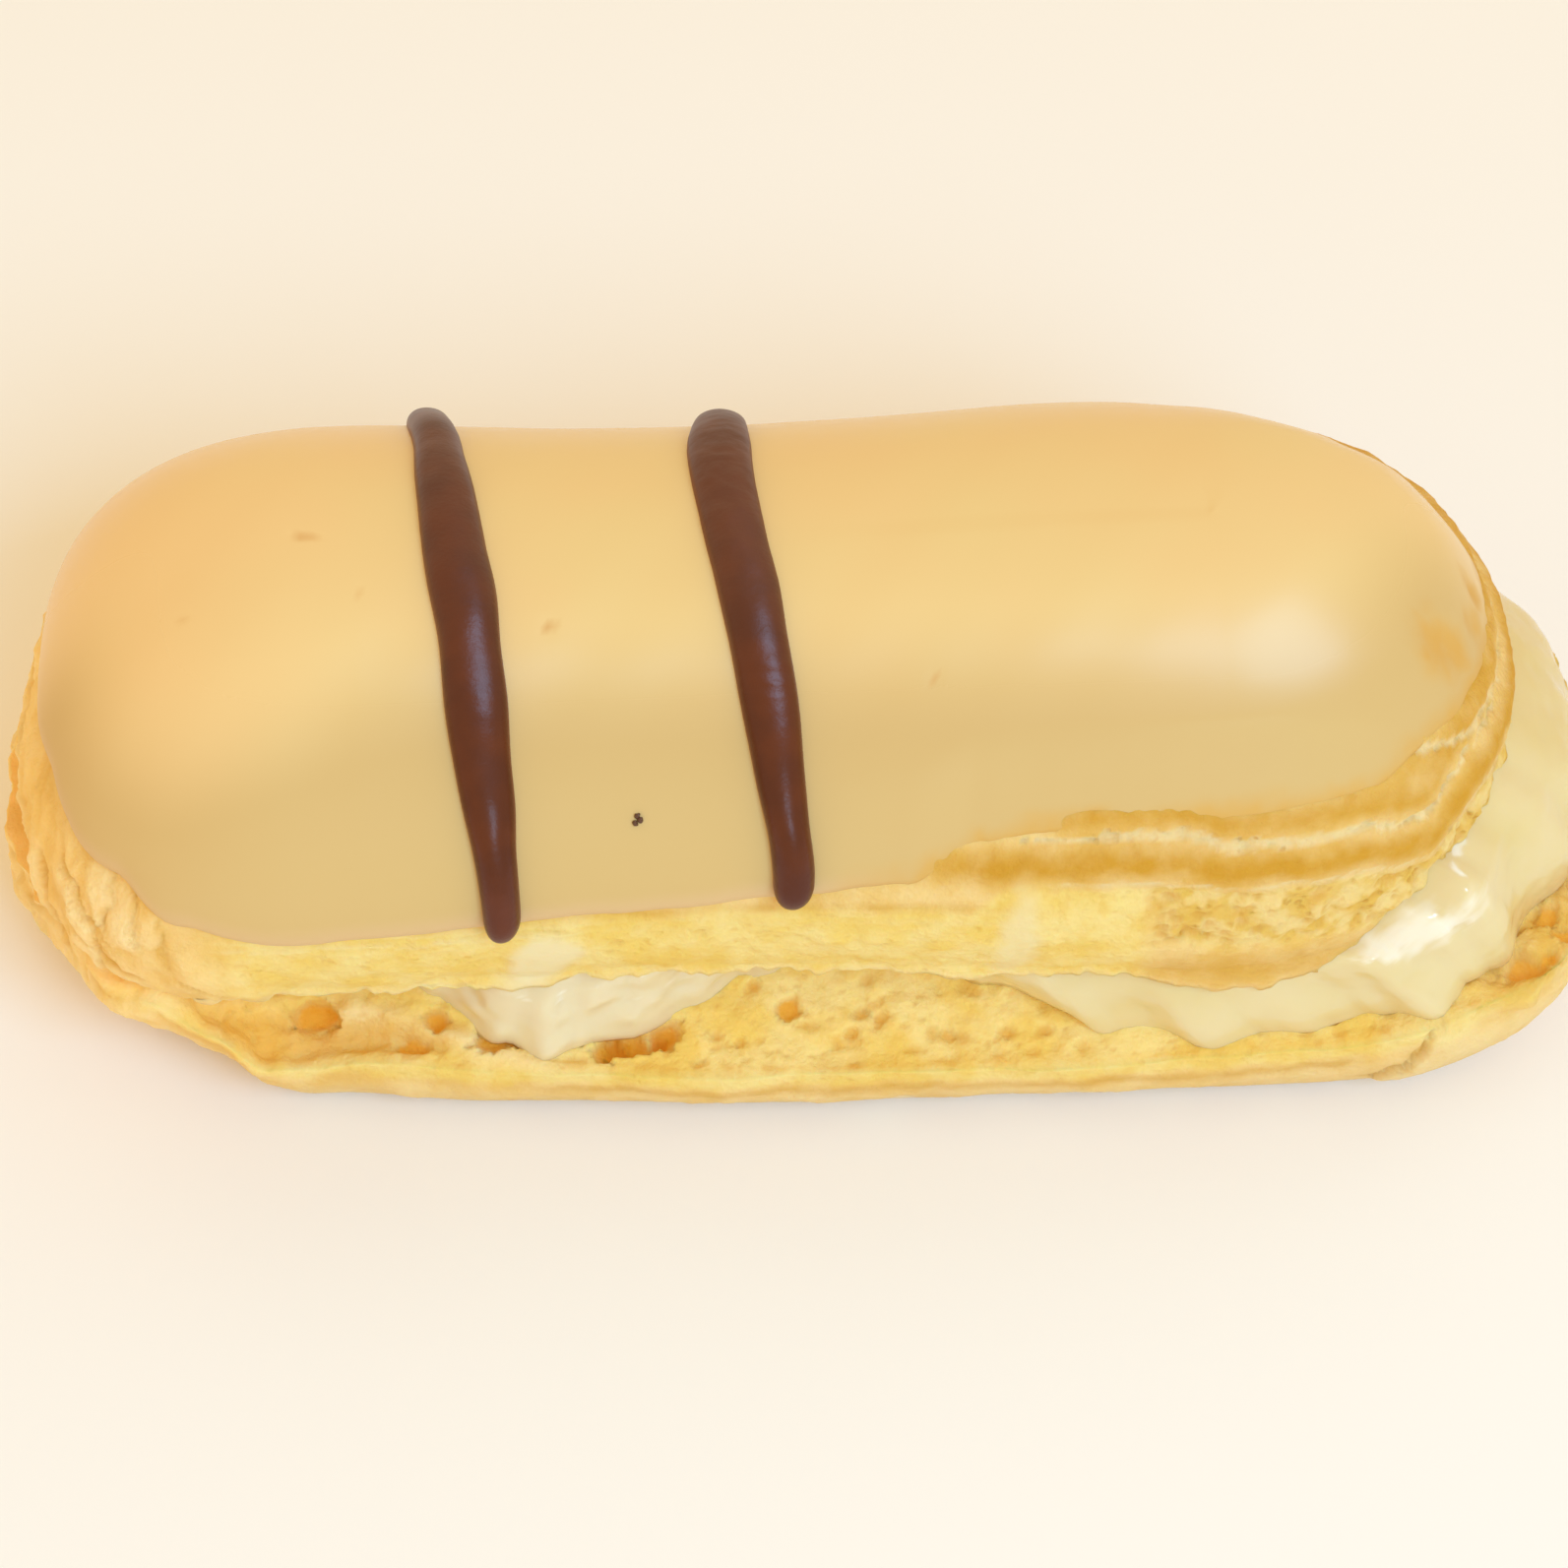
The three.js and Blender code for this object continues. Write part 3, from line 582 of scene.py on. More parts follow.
def tear_seams(skin, flaky):
    """Tears with one side that stands up, in the flakes and along the flap at the open end."""
    points, height, around = skin.points, skin.points[..., 2], skin.turn * MM_PER_TURN
    flap = near_turn(skin.turn, *FLAP_END) * np.ones(points.shape[:2])
    flap[skin.slope_rows.start + 2:] = 0
    tears = [(*seam, SEAM_REACH, flaky) for seam in SEAMS] + [(*FLAP, FLAP_REACH, flap)]
    for turn_a, height_a, turn_b, height_b, rise, reach, where in tears:
        run, fall = (turn_b - turn_a) * MM_PER_TURN, height_b - height_a
        length = math.hypot(run, fall)
        u, v = around - turn_a * MM_PER_TURN, height - height_a
        along = (u * run + v * fall) / length**2
        across = (u * fall - v * run) / length + 0.5 * rough(points, 2.2, 67, 2)
        torn_here = where * ramp(-0.12, 0.15, along) * (1 - ramp(0.85, 1.12, along))
        lifted = ramp(-0.1, 0.2, across) * bell(np.maximum(across, 0), 0, reach)
        tear = bell(across, 0, TEAR_WIDE)
        skin.relief += torn_here * (rise * lifted - 0.4 * tear)
        skin.golden += 0.9 * torn_here * tear
        skin.pale += 0.5 * torn_here * lifted * (1 - tear)


def bake_lid(skin):
    """Fine bumps all over the lid, piping grooves round the back and a golden line along the front."""
    rows, drop = skin.lid_rows, skin.drop
    points, back = skin.points[rows], near_turn(skin.turn, *BACK_SIDE)
    bumps = 0.12 * rough(points, 2.2, 33) + 0.08 * rough(points, 0.8, 45, 2) * ramp(0.5, 0.7, drop)
    grooves = wave(drop - BACK_GROOVES["first"], BACK_GROOVES["pitch"])
    grooves = grooves * ramp(0.55, 0.7, drop) * (1 - ramp(1.05, 1.15, drop))
    skin.relief[rows] += bumps + 0.4 * back * grooves
    skin.golden[rows] += 0.5 * back + 0.5 * near_turn(skin.turn, *FRONT_BAND) * bell(drop, *FRONT_LINE)


def pipe_ridges(skin, line, jagged):
    """Golden piping ridges on the right, crumbling cracks between them and a golden lip at the rim."""
    rows, turn = skin.lid_rows, skin.turn
    points = skin.points[rows]
    right, second = near_turn(turn, *RIGHT_SIDE), near_turn(turn, *SECOND_RIDGE)
    ridge_one = near_turn(turn, *FIRST_RIDGE) * bell(line, *PIPING["first"])
    ridge_two = second * bell(line, *PIPING["second"])
    thin_line = 0.8 * second * ramp(0.19, 0.21, turn) * bell(jagged, *PIPING["thin_line"])
    lip = right * bell(line, *PIPING["lip"]) * ramp(0.215, 0.24, turn)
    half_wide = np.interp(turn, CRACK_TURN, CRACK_WIDE)
    crack = ramp(1.15, 0.75, np.abs(jagged - CRACK_DROP) / np.maximum(half_wide, 1e-4)) * (half_wide > 0)
    off_short = jagged + stops_at(RIDGE_SAG, turn) - np.interp(turn, SHORT_CRACK_TURN, SHORT_CRACK_DROP)
    short_crack = near_turn(turn, *SHORT_CRACK) * ramp(1.2, 0.6, np.abs(off_short) / SHORT_CRACK_WIDE)
    crack = np.maximum(crack, short_crack)
    skin.relief[rows] += 0.35 * ridge_one + 0.5 * ridge_two + 0.45 * lip - 0.25 * thin_line
    skin.relief[rows] += crack * (-0.3 + 0.4 * rough(points, 0.9, 28, 2))
    patchy = ramp(-0.3, 0.35, rough(points, 4.5, 54, 2)) * near_turn(turn, *PATCHY_CRUST)
    bare_top = (0.35 + 0.5 * patchy) * right * (1 - ramp(0.62, 0.66, line))
    skin.golden[rows] += 0.8 * ridge_one + ridge_two + 0.6 * lip + bare_top
    rim_line = bell(skin.drop, skin.foot_drop, 0.014) * skin.open_slit * (1 - lip)
    skin.pale[rows] += 0.8 * crack + 0.9 * thin_line + 0.6 * rim_line
    skin.cracked[rows] = crack


def tear_lid_side(skin, jagged, draw):
    """Torn side of the lid: layered yellow crumb along the front and a porous strip on the right."""
    rows, turn, drop = skin.lid_rows, skin.turn, skin.drop
    points, front = skin.points[rows], near_turn(turn, *FRONT_BAND)
    porous = near_turn(turn, *POROUS_STRIP) * ramp(0.865, 0.88, jagged) * (1 - ramp(1.06, 1.09, jagged))
    torn = np.maximum(front, near_turn(turn, *TORN_BAND) * ramp(0.868, 0.878, jagged))
    torn = torn * ramp(0.93, 0.97, drop + 0.02 * rough(points, 4, 43) + 0.1 * ramp(0.17, 0.19, turn))
    layers = front * bell(drop, LAYERS["drop"], LAYERS["half_drop"])
    layers = layers * (1 - 0.6 * ramp(0.04, 0.08, signed(turn)))
    layer_wave = wave(drop + 0.012 * rough(points, 5, 44), LAYERS["pitch"])
    skin.relief[rows] += porous * (0.4 * rough(points, 1.5, 32) - 0.35) + 0.12 * layers * layer_wave
    skin.relief[rows] += torn * (0.2 * rough(points, 3.2, 30) + 0.07 * rough(points, 0.8, 31, 2))
    at_turn, at_drop, radii, widths = bubbles(draw, **STRIP_BUBBLES)
    at_drop = at_drop + stops_at(RIDGE_SAG, at_turn)
    sunk, inside = pits(points, dome_point(at_turn, at_drop, 0), radii, widths, 0.8, 46)
    skin.relief[rows] -= sunk * porous
    hole = 0.5 * inside * porous
    at_turn, at_drop, radii, widths = bubbles(draw, **BAND_BUBBLES)
    sunk, inside = pits(points, dome_point(at_turn, at_drop, 0), radii, widths, 0.7, 47)
    skin.relief[rows] -= sunk * torn
    skin.hole[rows] = np.maximum(hole, 0.25 * inside * torn)
    skin.pale[rows] += 0.45 * layers * ramp(0, 0.8, layer_wave)
    skin.crumb[rows] = np.maximum(torn, porous)
    skin.cracked[rows] = np.maximum(skin.cracked[rows], 0.6 * porous)


def wash_lid_side(skin):
    """Thin cream dragged over the lid's side, which smooths it."""
    rows, drop = skin.lid_rows, skin.drop
    points = skin.points[rows]
    for at, at_drop, half_turn, half_drop, lean, strength in WASHES:
        off = (signed(skin.turn) - at + lean * (drop - at_drop)) / half_turn
        spread = np.hypot(off, (drop - at_drop) / half_drop)
        laid = strength * ramp(1.2, 0.45, spread + 0.3 * rough(points, 3.0, 57))
        skin.wash[rows] = np.maximum(skin.wash[rows], laid)
    wash = skin.wash[rows]
    skin.relief[rows] = skin.relief[rows] * (1 - 0.7 * wash) + 0.2 * wash
    skin.hole[rows] *= 1 - wash


def choux_parts():
    skin = ShellSkin()
    draw = np.random.default_rng(CRUMB_SEED)
    tear_crumb(skin, draw)
    tear_open_rim(skin, draw)
    bake_bottom(skin)
    flaky = flake_closed_end(skin)
    tear_seams(skin, flaky)
    lid_points = skin.points[skin.lid_rows]
    # Drops measured along the piping's sagging lines, smooth and then jagged
    line = skin.drop - stops_at(RIDGE_SAG, skin.turn) + 0.008 * rough(lid_points, 6, 29)
    jagged = line + 0.009 * rough(lid_points, 1.2, 42, 2)
    bake_lid(skin)
    pipe_ridges(skin, line, jagged)
    tear_lid_side(skin, jagged, draw)
    wash_lid_side(skin)
    # Painted glow: emission stands in for light shining through the crumb in the holes and along the open
    # slit, and for more light falling on the closed end
    skin.glow += 0.55 * skin.hole + 0.8 * flaky
    skin.glow[skin.slope_rows] += 0.42 * skin.open_slit
    return skin.parts()


# Cream: a slab in the slit whose face swells from its toe on the crumb up to the lid
CREAM_COLUMNS = 560
CREAM_FACE_ROWS = 46
CREAM_SUNK = dict(toe=0.4, bed=0.6, front=2.8, right=2.0)  # how deep it sits in the crumb and behind the lid
WEDGE_RISE = 2.4
PAINTED_HIGHLIGHT = dict(turn=0.291, half_turn=0.012, up=0.72, half_up=0.2, lean=0.03)  # a painted highlight: a whitish patch at the open end, where the glossy cream would shine


def cream_parts():
    turn = np.arange(CREAM_COLUMNS) / CREAM_COLUMNS
    edge = along_slit(turn)
    end, blob = near_turn(turn, *CREAM_END), near_turn(turn, *CREAM_BLOB)
    shoulder = near_turn(turn, *CREAM_SHOULDER)

    # Toe on the crumb, contact behind the lid's side and roof under the lid
    toe_share = stops_at(CREAM_TOE, turn) + 0.01 * rough(edge, 5, 51, 2) + 0.008 * rough(edge, 1.9, 58, 2)
    toe = tray_top(turn, toe_share) - np.array([0, 0, CREAM_SUNK["toe"]])
    toe[:, 2] += WEDGE_RISE * near_turn(turn, *WEDGE_LIFT)
    behind = lerp(CREAM_SUNK["front"], CREAM_SUNK["right"], ramp(0.2, 0.29, turn))
    contact = dome_point(turn, stops_at(CREAM_CONTACT, turn), -behind)
    roof = slit_roof(turn, 0.5, 0.6)
    tucked = ramp(0.9, 0.6, toe_share) * (1 - near_turn(turn, *CREAM_WEDGE))
    contact = lerp(contact, lerp(contact, roof, 0.75), tucked[:, None])

    # Rows from the bed on the crumb up the swelling face to the roof
    spine, outer_x, outer_y = plan(turn, 1.0, TRAY)
    outward = np.stack([outer_x - spine, outer_y, turn * 0 + 0.75], -1)
    up_face = np.linspace(0, 1, CREAM_FACE_ROWS)
    rows = [tray_top(turn, toe_share * k) - np.array([0, 0, CREAM_SUNK["bed"]]) for k in (0.55, 0.75, 0.93)]
    for k in up_face:
        swelling = (1.2 + 1.4 * end) * np.sin(np.pi * k) ** 0.7 * (1 - 0.35 * k)
        swelling = swelling + 1.1 * shoulder * bell(k, 0.75, 0.2)
        rows.append(lerp(toe, contact, k) + outward * swelling[:, None])
    rows += [lerp(contact, roof, k) for k in (0.3, 0.65, 1)]
    points = np.stack(rows)
    up = np.concatenate([[0, 0, 0], up_face, [1, 1, 1]])[:, None]

    # Folds on the face
    face = np.zeros(len(points))
    face[3:3 + CREAM_FACE_ROWS] = np.sin(np.pi * up_face) ** 0.5
    slant = points * np.array([0.55, 0.55, 1.5])
    folds = 0.45 * rough(slant, 7, 52, 2) + 0.16 * (creases(slant, 8, 53) - 0.4)
    folds = folds + (0.14 + 0.34 * blob) * rough(points, 2.4, 56, 2)
    folds = folds + 0.1 * shoulder * rough(points, 1.1, 59, 2)
    points = points + grid_normals(points) * (folds * face[:, None])[..., None]

    # Whiter cream at the front and along the toe, and painted highlights: a whitish patch at the open end and
    # thin glints on the blob's ridges
    toe_line = np.zeros(len(points))
    toe_line[1:10] = np.linspace(1, 0, 9)
    white = np.maximum(blob, 0.6 * toe_line[:, None])
    off = (turn - PAINTED_HIGHLIGHT["turn"] + PAINTED_HIGHLIGHT["lean"] * (up - 0.7)) / PAINTED_HIGHLIGHT["half_turn"]
    patch = np.hypot(off, (up - PAINTED_HIGHLIGHT["up"]) / PAINTED_HIGHLIGHT["half_up"]) + 0.5 * rough(points, 0.9, 66, 2)
    glints = blob * ramp(0.3, 0.5, up) * (1 - ramp(0.8, 0.95, up))
    glints = glints * ramp(0.93, 0.99, creases(points, 2.6, 68))
    gleam = np.maximum(ramp(1.2, 0.4, patch), 0.7 * glints)
    values = dict(white=white.ravel(), gleam=gleam.ravel())
    return [(points.reshape(-1, 3), round_faces(*points.shape[:2]), values)]


# Icing: a coat over the crown, with a rounded lip on the left and thinning out over the crust on the right
ICING_COLUMNS = 440
ICING_ROWS = np.concatenate([np.linspace(1, 0.9, 16), np.linspace(0.885, 0.6, 24), np.linspace(0.58, 0, 26)])
ICING_SUNK = 2.5  # how deep its underside lies in the lid
CREASE_X = [20, 26, 33, 38, 42]  # a faint crease over the piping on the right, by x and drop
CREASE_DROP = [0.47, 0.466, 0.466, 0.52, 0.58]
CREASE = dict(deep=0.3, x=32, half_x=7)
CRUMBS = [(0.0788, 0.638), (0.0796, 0.648), (0.0781, 0.655)]  # turn and drop of dark crumbs on the icing
SPOTS = [  # turn, drop, radius and strength of tinted spots in the icing
    (0.847, 0.088, 0.9, 0.7), (0.0, 0.116, 0.5, 0.3), (0.9025, 0.329, 0.6, 0.3), (0.055, 0.197, 0.7, 0.8),
    (0.1663, 0.341, 0.55, 0.6),
]
THIN_SPOTS = [  # turn, drop and radius of spots where crust shows through
    (0.335, 0.5, 2.8), (0.341, 0.55, 2.6), (0.356, 0.61, 2.2), (0.37, 0.6, 1.7),
]


def radii_from(points, turn, drop, radius):
    """How many radii points lie from a place on the icing."""
    middle = dome_point(np.array(turn), np.array(drop), ICING_THICK)
    return np.linalg.norm(points - middle, axis=-1) / radius


def icing_parts():
    turn = np.arange(ICING_COLUMNS) / ICING_COLUMNS
    outside = ICING_ROWS[:, None]
    thinning = near_turn(turn, *ICING_THINS)
    edge = stops_at(ICING_EDGE, turn) + 0.012 * rough(along_slit(turn), 8, 61) + 0.05 * thinning
    rounded = lerp(-0.4, stops_at(ICING_DEPTH, turn), np.sqrt(1 - outside**20))
    rounded = lerp(rounded, ICING_THICK, ramp(0.95, 0.5, outside))
    tapered = ICING_THICK * (1 - ramp(0.62, 1.0, outside)) + 0.12 - 0.6 * ramp(0.965, 1, outside)
    drop = edge * outside
    top = dome_point(turn, drop, lerp(rounded, tapered, thinning))
    normal = grid_normals(top)
    below = dome_point(turn, edge * np.linspace(0, 0.97, 8)[:, None], -ICING_SUNK)

    # The crease, shallow dimples at the tinted spots and hollows at the thin ones
    x, on_front = top[..., 0], ramp(6, -8, top[..., 1])
    past_crease = drop - np.interp(x, CREASE_X, CREASE_DROP)
    step_down = ramp(-0.02, 0.035, past_crease) * (1 - ramp(0.04, 0.16, past_crease))
    height = -CREASE["deep"] * bell(x, CREASE["x"], CREASE["half_x"]) * on_front * step_down
    spot = np.zeros(top.shape[:2])
    for at, at_drop, radius, strength in SPOTS:
        away = radii_from(top, at, at_drop, radius)
        spot = np.maximum(spot, strength * ramp(1, 0.3, away))
        height = height - 0.12 * radius * ramp(1, 0.2, away)
    thin = thinning * ramp(0.88, 0.99, outside + 0.04 * rough(top, 2.5, 65))
    for at, at_drop, radius in THIN_SPOTS:
        away = radii_from(top, at, at_drop, radius)
        thin = np.maximum(thin, ramp(1.35, 0.3, away + 0.4 * rough(top, 2.2, 63)))
        height = height - 0.25 * ramp(1, 0.2, away)
    top = top + normal * (height * ramp(1, 0.9, outside))[..., None]

    # Looks: a painted shade darkens the colour low on the front, which is also more satin; a browner lip; a
    # painted warm light brightens the left end
    x = top[..., 0]
    # Painted shade: how far the caramel is darkened low on the front, where less light falls
    low = ramp(0.16, 0.49, drop - 0.2 * ramp(-28, -50, x)) * on_front
    lip = (1 - thinning) * ramp(0.9, 0.98, outside)
    satin = ramp(0.36, 0.5, drop) * on_front
    # Painted light: the left end is brightened to a warmer tone, as if a warm lamp lit it
    peach = ramp(-26, -52, x) * (1 - 0.85 * low)
    shown = dict(thin=thin, spot=spot, low=low, lip=lip, satin=satin, peach=peach)
    pad = np.zeros(below.shape[:2])
    values = {key: np.concatenate([pad, value]).ravel() for key, value in shown.items()}
    points = np.concatenate([below, top])
    coat = used_points(points.reshape(-1, 3), spine_faces(*points.shape[:2]), values)
    return [coat] + [crumb_part(*place) for place in CRUMBS]


def crumb_part(turn, drop):
    """A tiny dark crumb stuck on the icing."""
    rows, columns = 7, 10
    polar = np.linspace(-0.97, 0.97, rows)[:, None]
    around = np.arange(columns) / columns * 2 * np.pi
    ring = np.sqrt(1 - polar**2)
    ball = np.stack(np.broadcast_arrays(ring * np.cos(around), ring * np.sin(around), polar), -1)
    middle = dome_point(np.array(turn), np.array(drop), ICING_THICK + 0.05)
    ball = ball * (0.2 + 0.1 * grain(ball + middle, 0.7, 64))[..., None] + middle
    every = np.ones(rows * columns)
    return ball.reshape(-1, 3), round_faces(rows, columns), dict(dark=every)


# Stripes: piped half-rounds of chocolate over the icing. Edges are the x of each side at drops from the
# back, where they count as negative, over the crown to the front.
STRIPES = {
    "stripe_left": dict(drops=[-0.59, -0.165, 0.03, 0.197, 0.389, 0.574, 0.76, 0.897],
                        left=[-30.0, -28.8, -28.0, -27.8, -26.8, -25.7, -25.2, -24.7],
                        right=[-26.4, -24.6, -23.3, -23.0, -22.4, -22.2, -21.9, -22.0],
                        back=-0.62, front=0.955, pitted=0.3, wrinkled=0.3, seed=71),
    "stripe_right": dict(drops=[-0.49, -0.05, 0.132, 0.301, 0.474, 0.644, 0.81],
                         left=[-8.2, -8.0, -7.2, -6.1, -4.9, -4.4, -3.8],
                         right=[-3.9, -3.2, -2.5, -1.7, -1.3, -0.8, -0.8],
                         back=-0.56, front=0.895, pitted=1.0, wrinkled=1.0, seed=81),
}
STRIPE_RISE = 1.7
STRIPE_LENGTH = 45
STRIPE_ROUND = 2.2  # length over which a stripe's end is rounded
STRIPE_SUNK = 0.15


def stripe_parts(drops, left, right, back, front, pitted, wrinkled, seed):
    stations, spokes = 200, 40
    station = ((1 - np.cos(np.linspace(0.02, np.pi - 0.02, stations))) / 2)[:, None]
    around = np.arange(spokes) / spokes * 2 * np.pi
    side, up = np.cos(around), np.sin(around)
    drop = lerp(back, front, station)
    held = np.clip(drop, drops[0], drops[-1])
    to_end = (1 - np.abs(2 * station - 1)) / 2 * (front - back) * MM_PER_DROP
    end = np.sqrt(1 - (1 - np.clip(to_end / STRIPE_ROUND, 0, 1)) ** 2)
    along = np.concatenate([station * STRIPE_LENGTH, 0 * station, 0 * station], 1)[:, None]
    left_x = np.polyval(np.polyfit(drops, left, 4), held) + 0.22 * rough(along, 8.0, seed + 4, 2)
    right_x = np.polyval(np.polyfit(drops, right, 4), held) + 0.2 * rough(along, 7.0, seed + 5, 2)
    middle, wide = (left_x + right_x) / 2, (right_x - left_x) / 2 * end
    turn = ((middle + side * wide - LID["left"]) / (LID["right"] - LID["left"])) * 0.25
    drop = drop + 0 * side
    lift = ICING_THICK - STRIPE_SUNK + np.where(up > 0, np.abs(up) ** 0.8 * STRIPE_RISE * end, up)
    points = dome_point(np.where(drop >= 0, turn, 0.75 - turn), np.abs(drop), lift)
    normal = -grid_normals(points)
    top = np.clip(up, 0, 1) * end
    upper = bell(station, 0.3, 0.2)
    wrinkle = wave(station * STRIPE_LENGTH + 0.7 * grain(points, 1.5, seed + 3), 1.3)
    uneven = (0.1 * rough(points, 4.0, seed + 1, 2)
              + 0.07 * pitted * upper * rough(points, 0.6, seed + 2, 2)
              + 0.06 * wrinkled * bell(station, 0.62, 0.045) * wrinkle)
    points = points + normal * (uneven * top)[..., None]
    thick = np.broadcast_to(top, points.shape[:2])
    rough_top = np.broadcast_to(pitted * upper, points.shape[:2])
    values = dict(thick=thick[:, ::-1].ravel(), pitted=rough_top[:, ::-1].ravel())
    return [(points[:, ::-1].reshape(-1, 3), round_faces(stations, spokes), values)]


# Materials
def srgb(red, green, blue):
    """A colour from screen values of 0 to 255."""
    def linear(v):
        v = v / 255
        return v / 12.92 if v <= 0.04045 else ((v + 0.055) / 1.055) ** 2.4
    return (linear(red), linear(green), linear(blue), 1.0)


BLACK = (0.0, 0.0, 0.0, 1.0)
PALE_CRUST, TAN_CRUST, GOLDEN_CRUST = srgb(240, 202, 128), srgb(232, 186, 98), srgb(209, 151, 44)
PALE_CRUMB, YELLOW_CRUMB, DEEP_CRUMB = srgb(242, 212, 130), srgb(238, 199, 98), srgb(230, 182, 82)
PALE_PORES, BROWN_PORES, DRY_FLAKE = srgb(234, 198, 128), srgb(219, 167, 68), srgb(238, 210, 150)
# Painted shade in holes, pores and the hollow, warmed to amber as a painted glow of light through the crumb
SHALLOW_HOLE_SHADE, DEEP_HOLE_SHADE = srgb(206, 146, 56), srgb(219, 146, 28)
CRUMB_GLOW, HOLE_GLOW = srgb(238, 178, 84), srgb(238, 174, 40)
CREAM_WASH = srgb(237, 217, 164)
PALE_CREAM, YELLOW_CREAM = srgb(231, 207, 150), srgb(227, 201, 136)
# The second colour on the next line is the near-white of a painted highlight on the cream.
WHITE_CREAM, HIGHLIGHT_CREAM = srgb(234, 214, 170), srgb(252, 242, 220)
# The third colour on the next line is a painted shade for the low front of the icing.
CARAMEL, YELLOW_CARAMEL, FRONT_SHADE_CARAMEL = srgb(241, 203, 136), srgb(239, 206, 138), srgb(209, 171, 104)
# The second colour on the next line is a painted warm light for the icing's left end.
LIP_CARAMEL, WARM_LIT_CARAMEL, THIN_CARAMEL = srgb(226, 186, 136), srgb(249, 206, 140), srgb(218, 166, 80)
CARAMEL_SPOT, DARK_CRUMB = srgb(214, 150, 70), srgb(96, 60, 40)
BROWN_CHOCOLATE, DARK_CHOCOLATE = srgb(96, 38, 9), srgb(83, 30, 7)
PITTED_CHOCOLATE, THIN_CHOCOLATE = srgb(116, 62, 32), srgb(124, 56, 16)
TABLE_PALE, TABLE_PALER = srgb(250, 243, 232), srgb(252, 245, 234)


class Mixture:
    """One value in a material's recipe. Sums and products of values become nodes."""

    def __init__(self, tree, socket=None):
        self.tree = tree
        self.socket = socket

    def add(self, kind, settings=None, sockets=None, output=0):
        node = self.tree.nodes.new(kind)
        for key, value in (settings or {}).items():
            setattr(node, key, value)
        for key, value in (sockets or {}).items():
            if isinstance(value, Mixture):
                self.tree.links.new(value.socket, node.inputs[key])
            else:
                node.inputs[key].default_value = value
        return Mixture(self.tree, node.outputs[output])

    def maths(self, operation, *values):
        return self.add("ShaderNodeMath", {"operation": operation}, dict(enumerate(values)))

    def __add__(self, other):
        return self.maths("ADD", self, other)

    def __radd__(self, other):
        return self.maths("ADD", other, self)

    def __sub__(self, other):
        return self.maths("SUBTRACT", self, other)

    def __rsub__(self, other):
        return self.maths("SUBTRACT", other, self)

    def __mul__(self, other):
        return self.maths("MULTIPLY", self, other)

    def __rmul__(self, other):
        return self.maths("MULTIPLY", other, self)

    def clamped(self):
        return self.add("ShaderNodeClamp", None, {"Value": self})

    def between(self, low, high):
        """0 below low, 1 above high and eased between them."""
        return self.add("ShaderNodeMapRange", {"interpolation_type": "SMOOTHSTEP"},
                        {"Value": self, "From Min": low, "From Max": high})

    def value(self, name):
        """A value that the mesh holds at its points."""
        return self.add("ShaderNodeAttribute", {"attribute_name": name}, None, "Fac")

    def scaled_place(self, scale, stretch=(1.0, 1.0, 1.0)):
        """Places on the piece, with scale in grains per millimetre."""
        place = self.add("ShaderNodeTexCoord", None, None, "Object")
        size = tuple(scale * s / MM for s in stretch)
        return self.add("ShaderNodeVectorMath", {"operation": "MULTIPLY"}, {0: place, 1: size})

    def noise(self, scale, detail):
        place = self.scaled_place(scale)
        return self.add("ShaderNodeTexNoise", None, {"Vector": place, "Scale": 1.0, "Detail": detail})

    def cells(self, scale, stretch):
        """Distance from the nearest of scattered points."""
        place = self.scaled_place(scale, stretch)
        return self.add("ShaderNodeTexVoronoi", None, {"Vector": place, "Scale": 1.0}, "Distance")

    def tint(self, amount, first, second):
        """A colour that goes from first to second by an amount."""
        return self.add("ShaderNodeMix", {"data_type": "RGBA"}, {0: amount, 6: first, 7: second}, 2)

    def bump(self, height, distance, strength):
        return self.add("ShaderNodeBump", None,
                        {"Height": height, "Distance": distance * MM, "Strength": strength})


def new_recipe(name):
    material = bpy.data.materials.new(name)
    material.use_nodes = True
    material.node_tree.nodes.clear()
    return material, Mixture(material.node_tree)


def finish_recipe(mix, varying, constant):
    """Joins what varies over the surface, and the shader's constant sockets, to the material's output."""
    shader = mix.add("ShaderNodeBsdfPrincipled", {"subsurface_method": "RANDOM_WALK"},
                     {**varying, **constant})
    mix.tree.links.new(shader.socket, mix.tree.nodes.new("ShaderNodeOutputMaterial").inputs["Surface"])


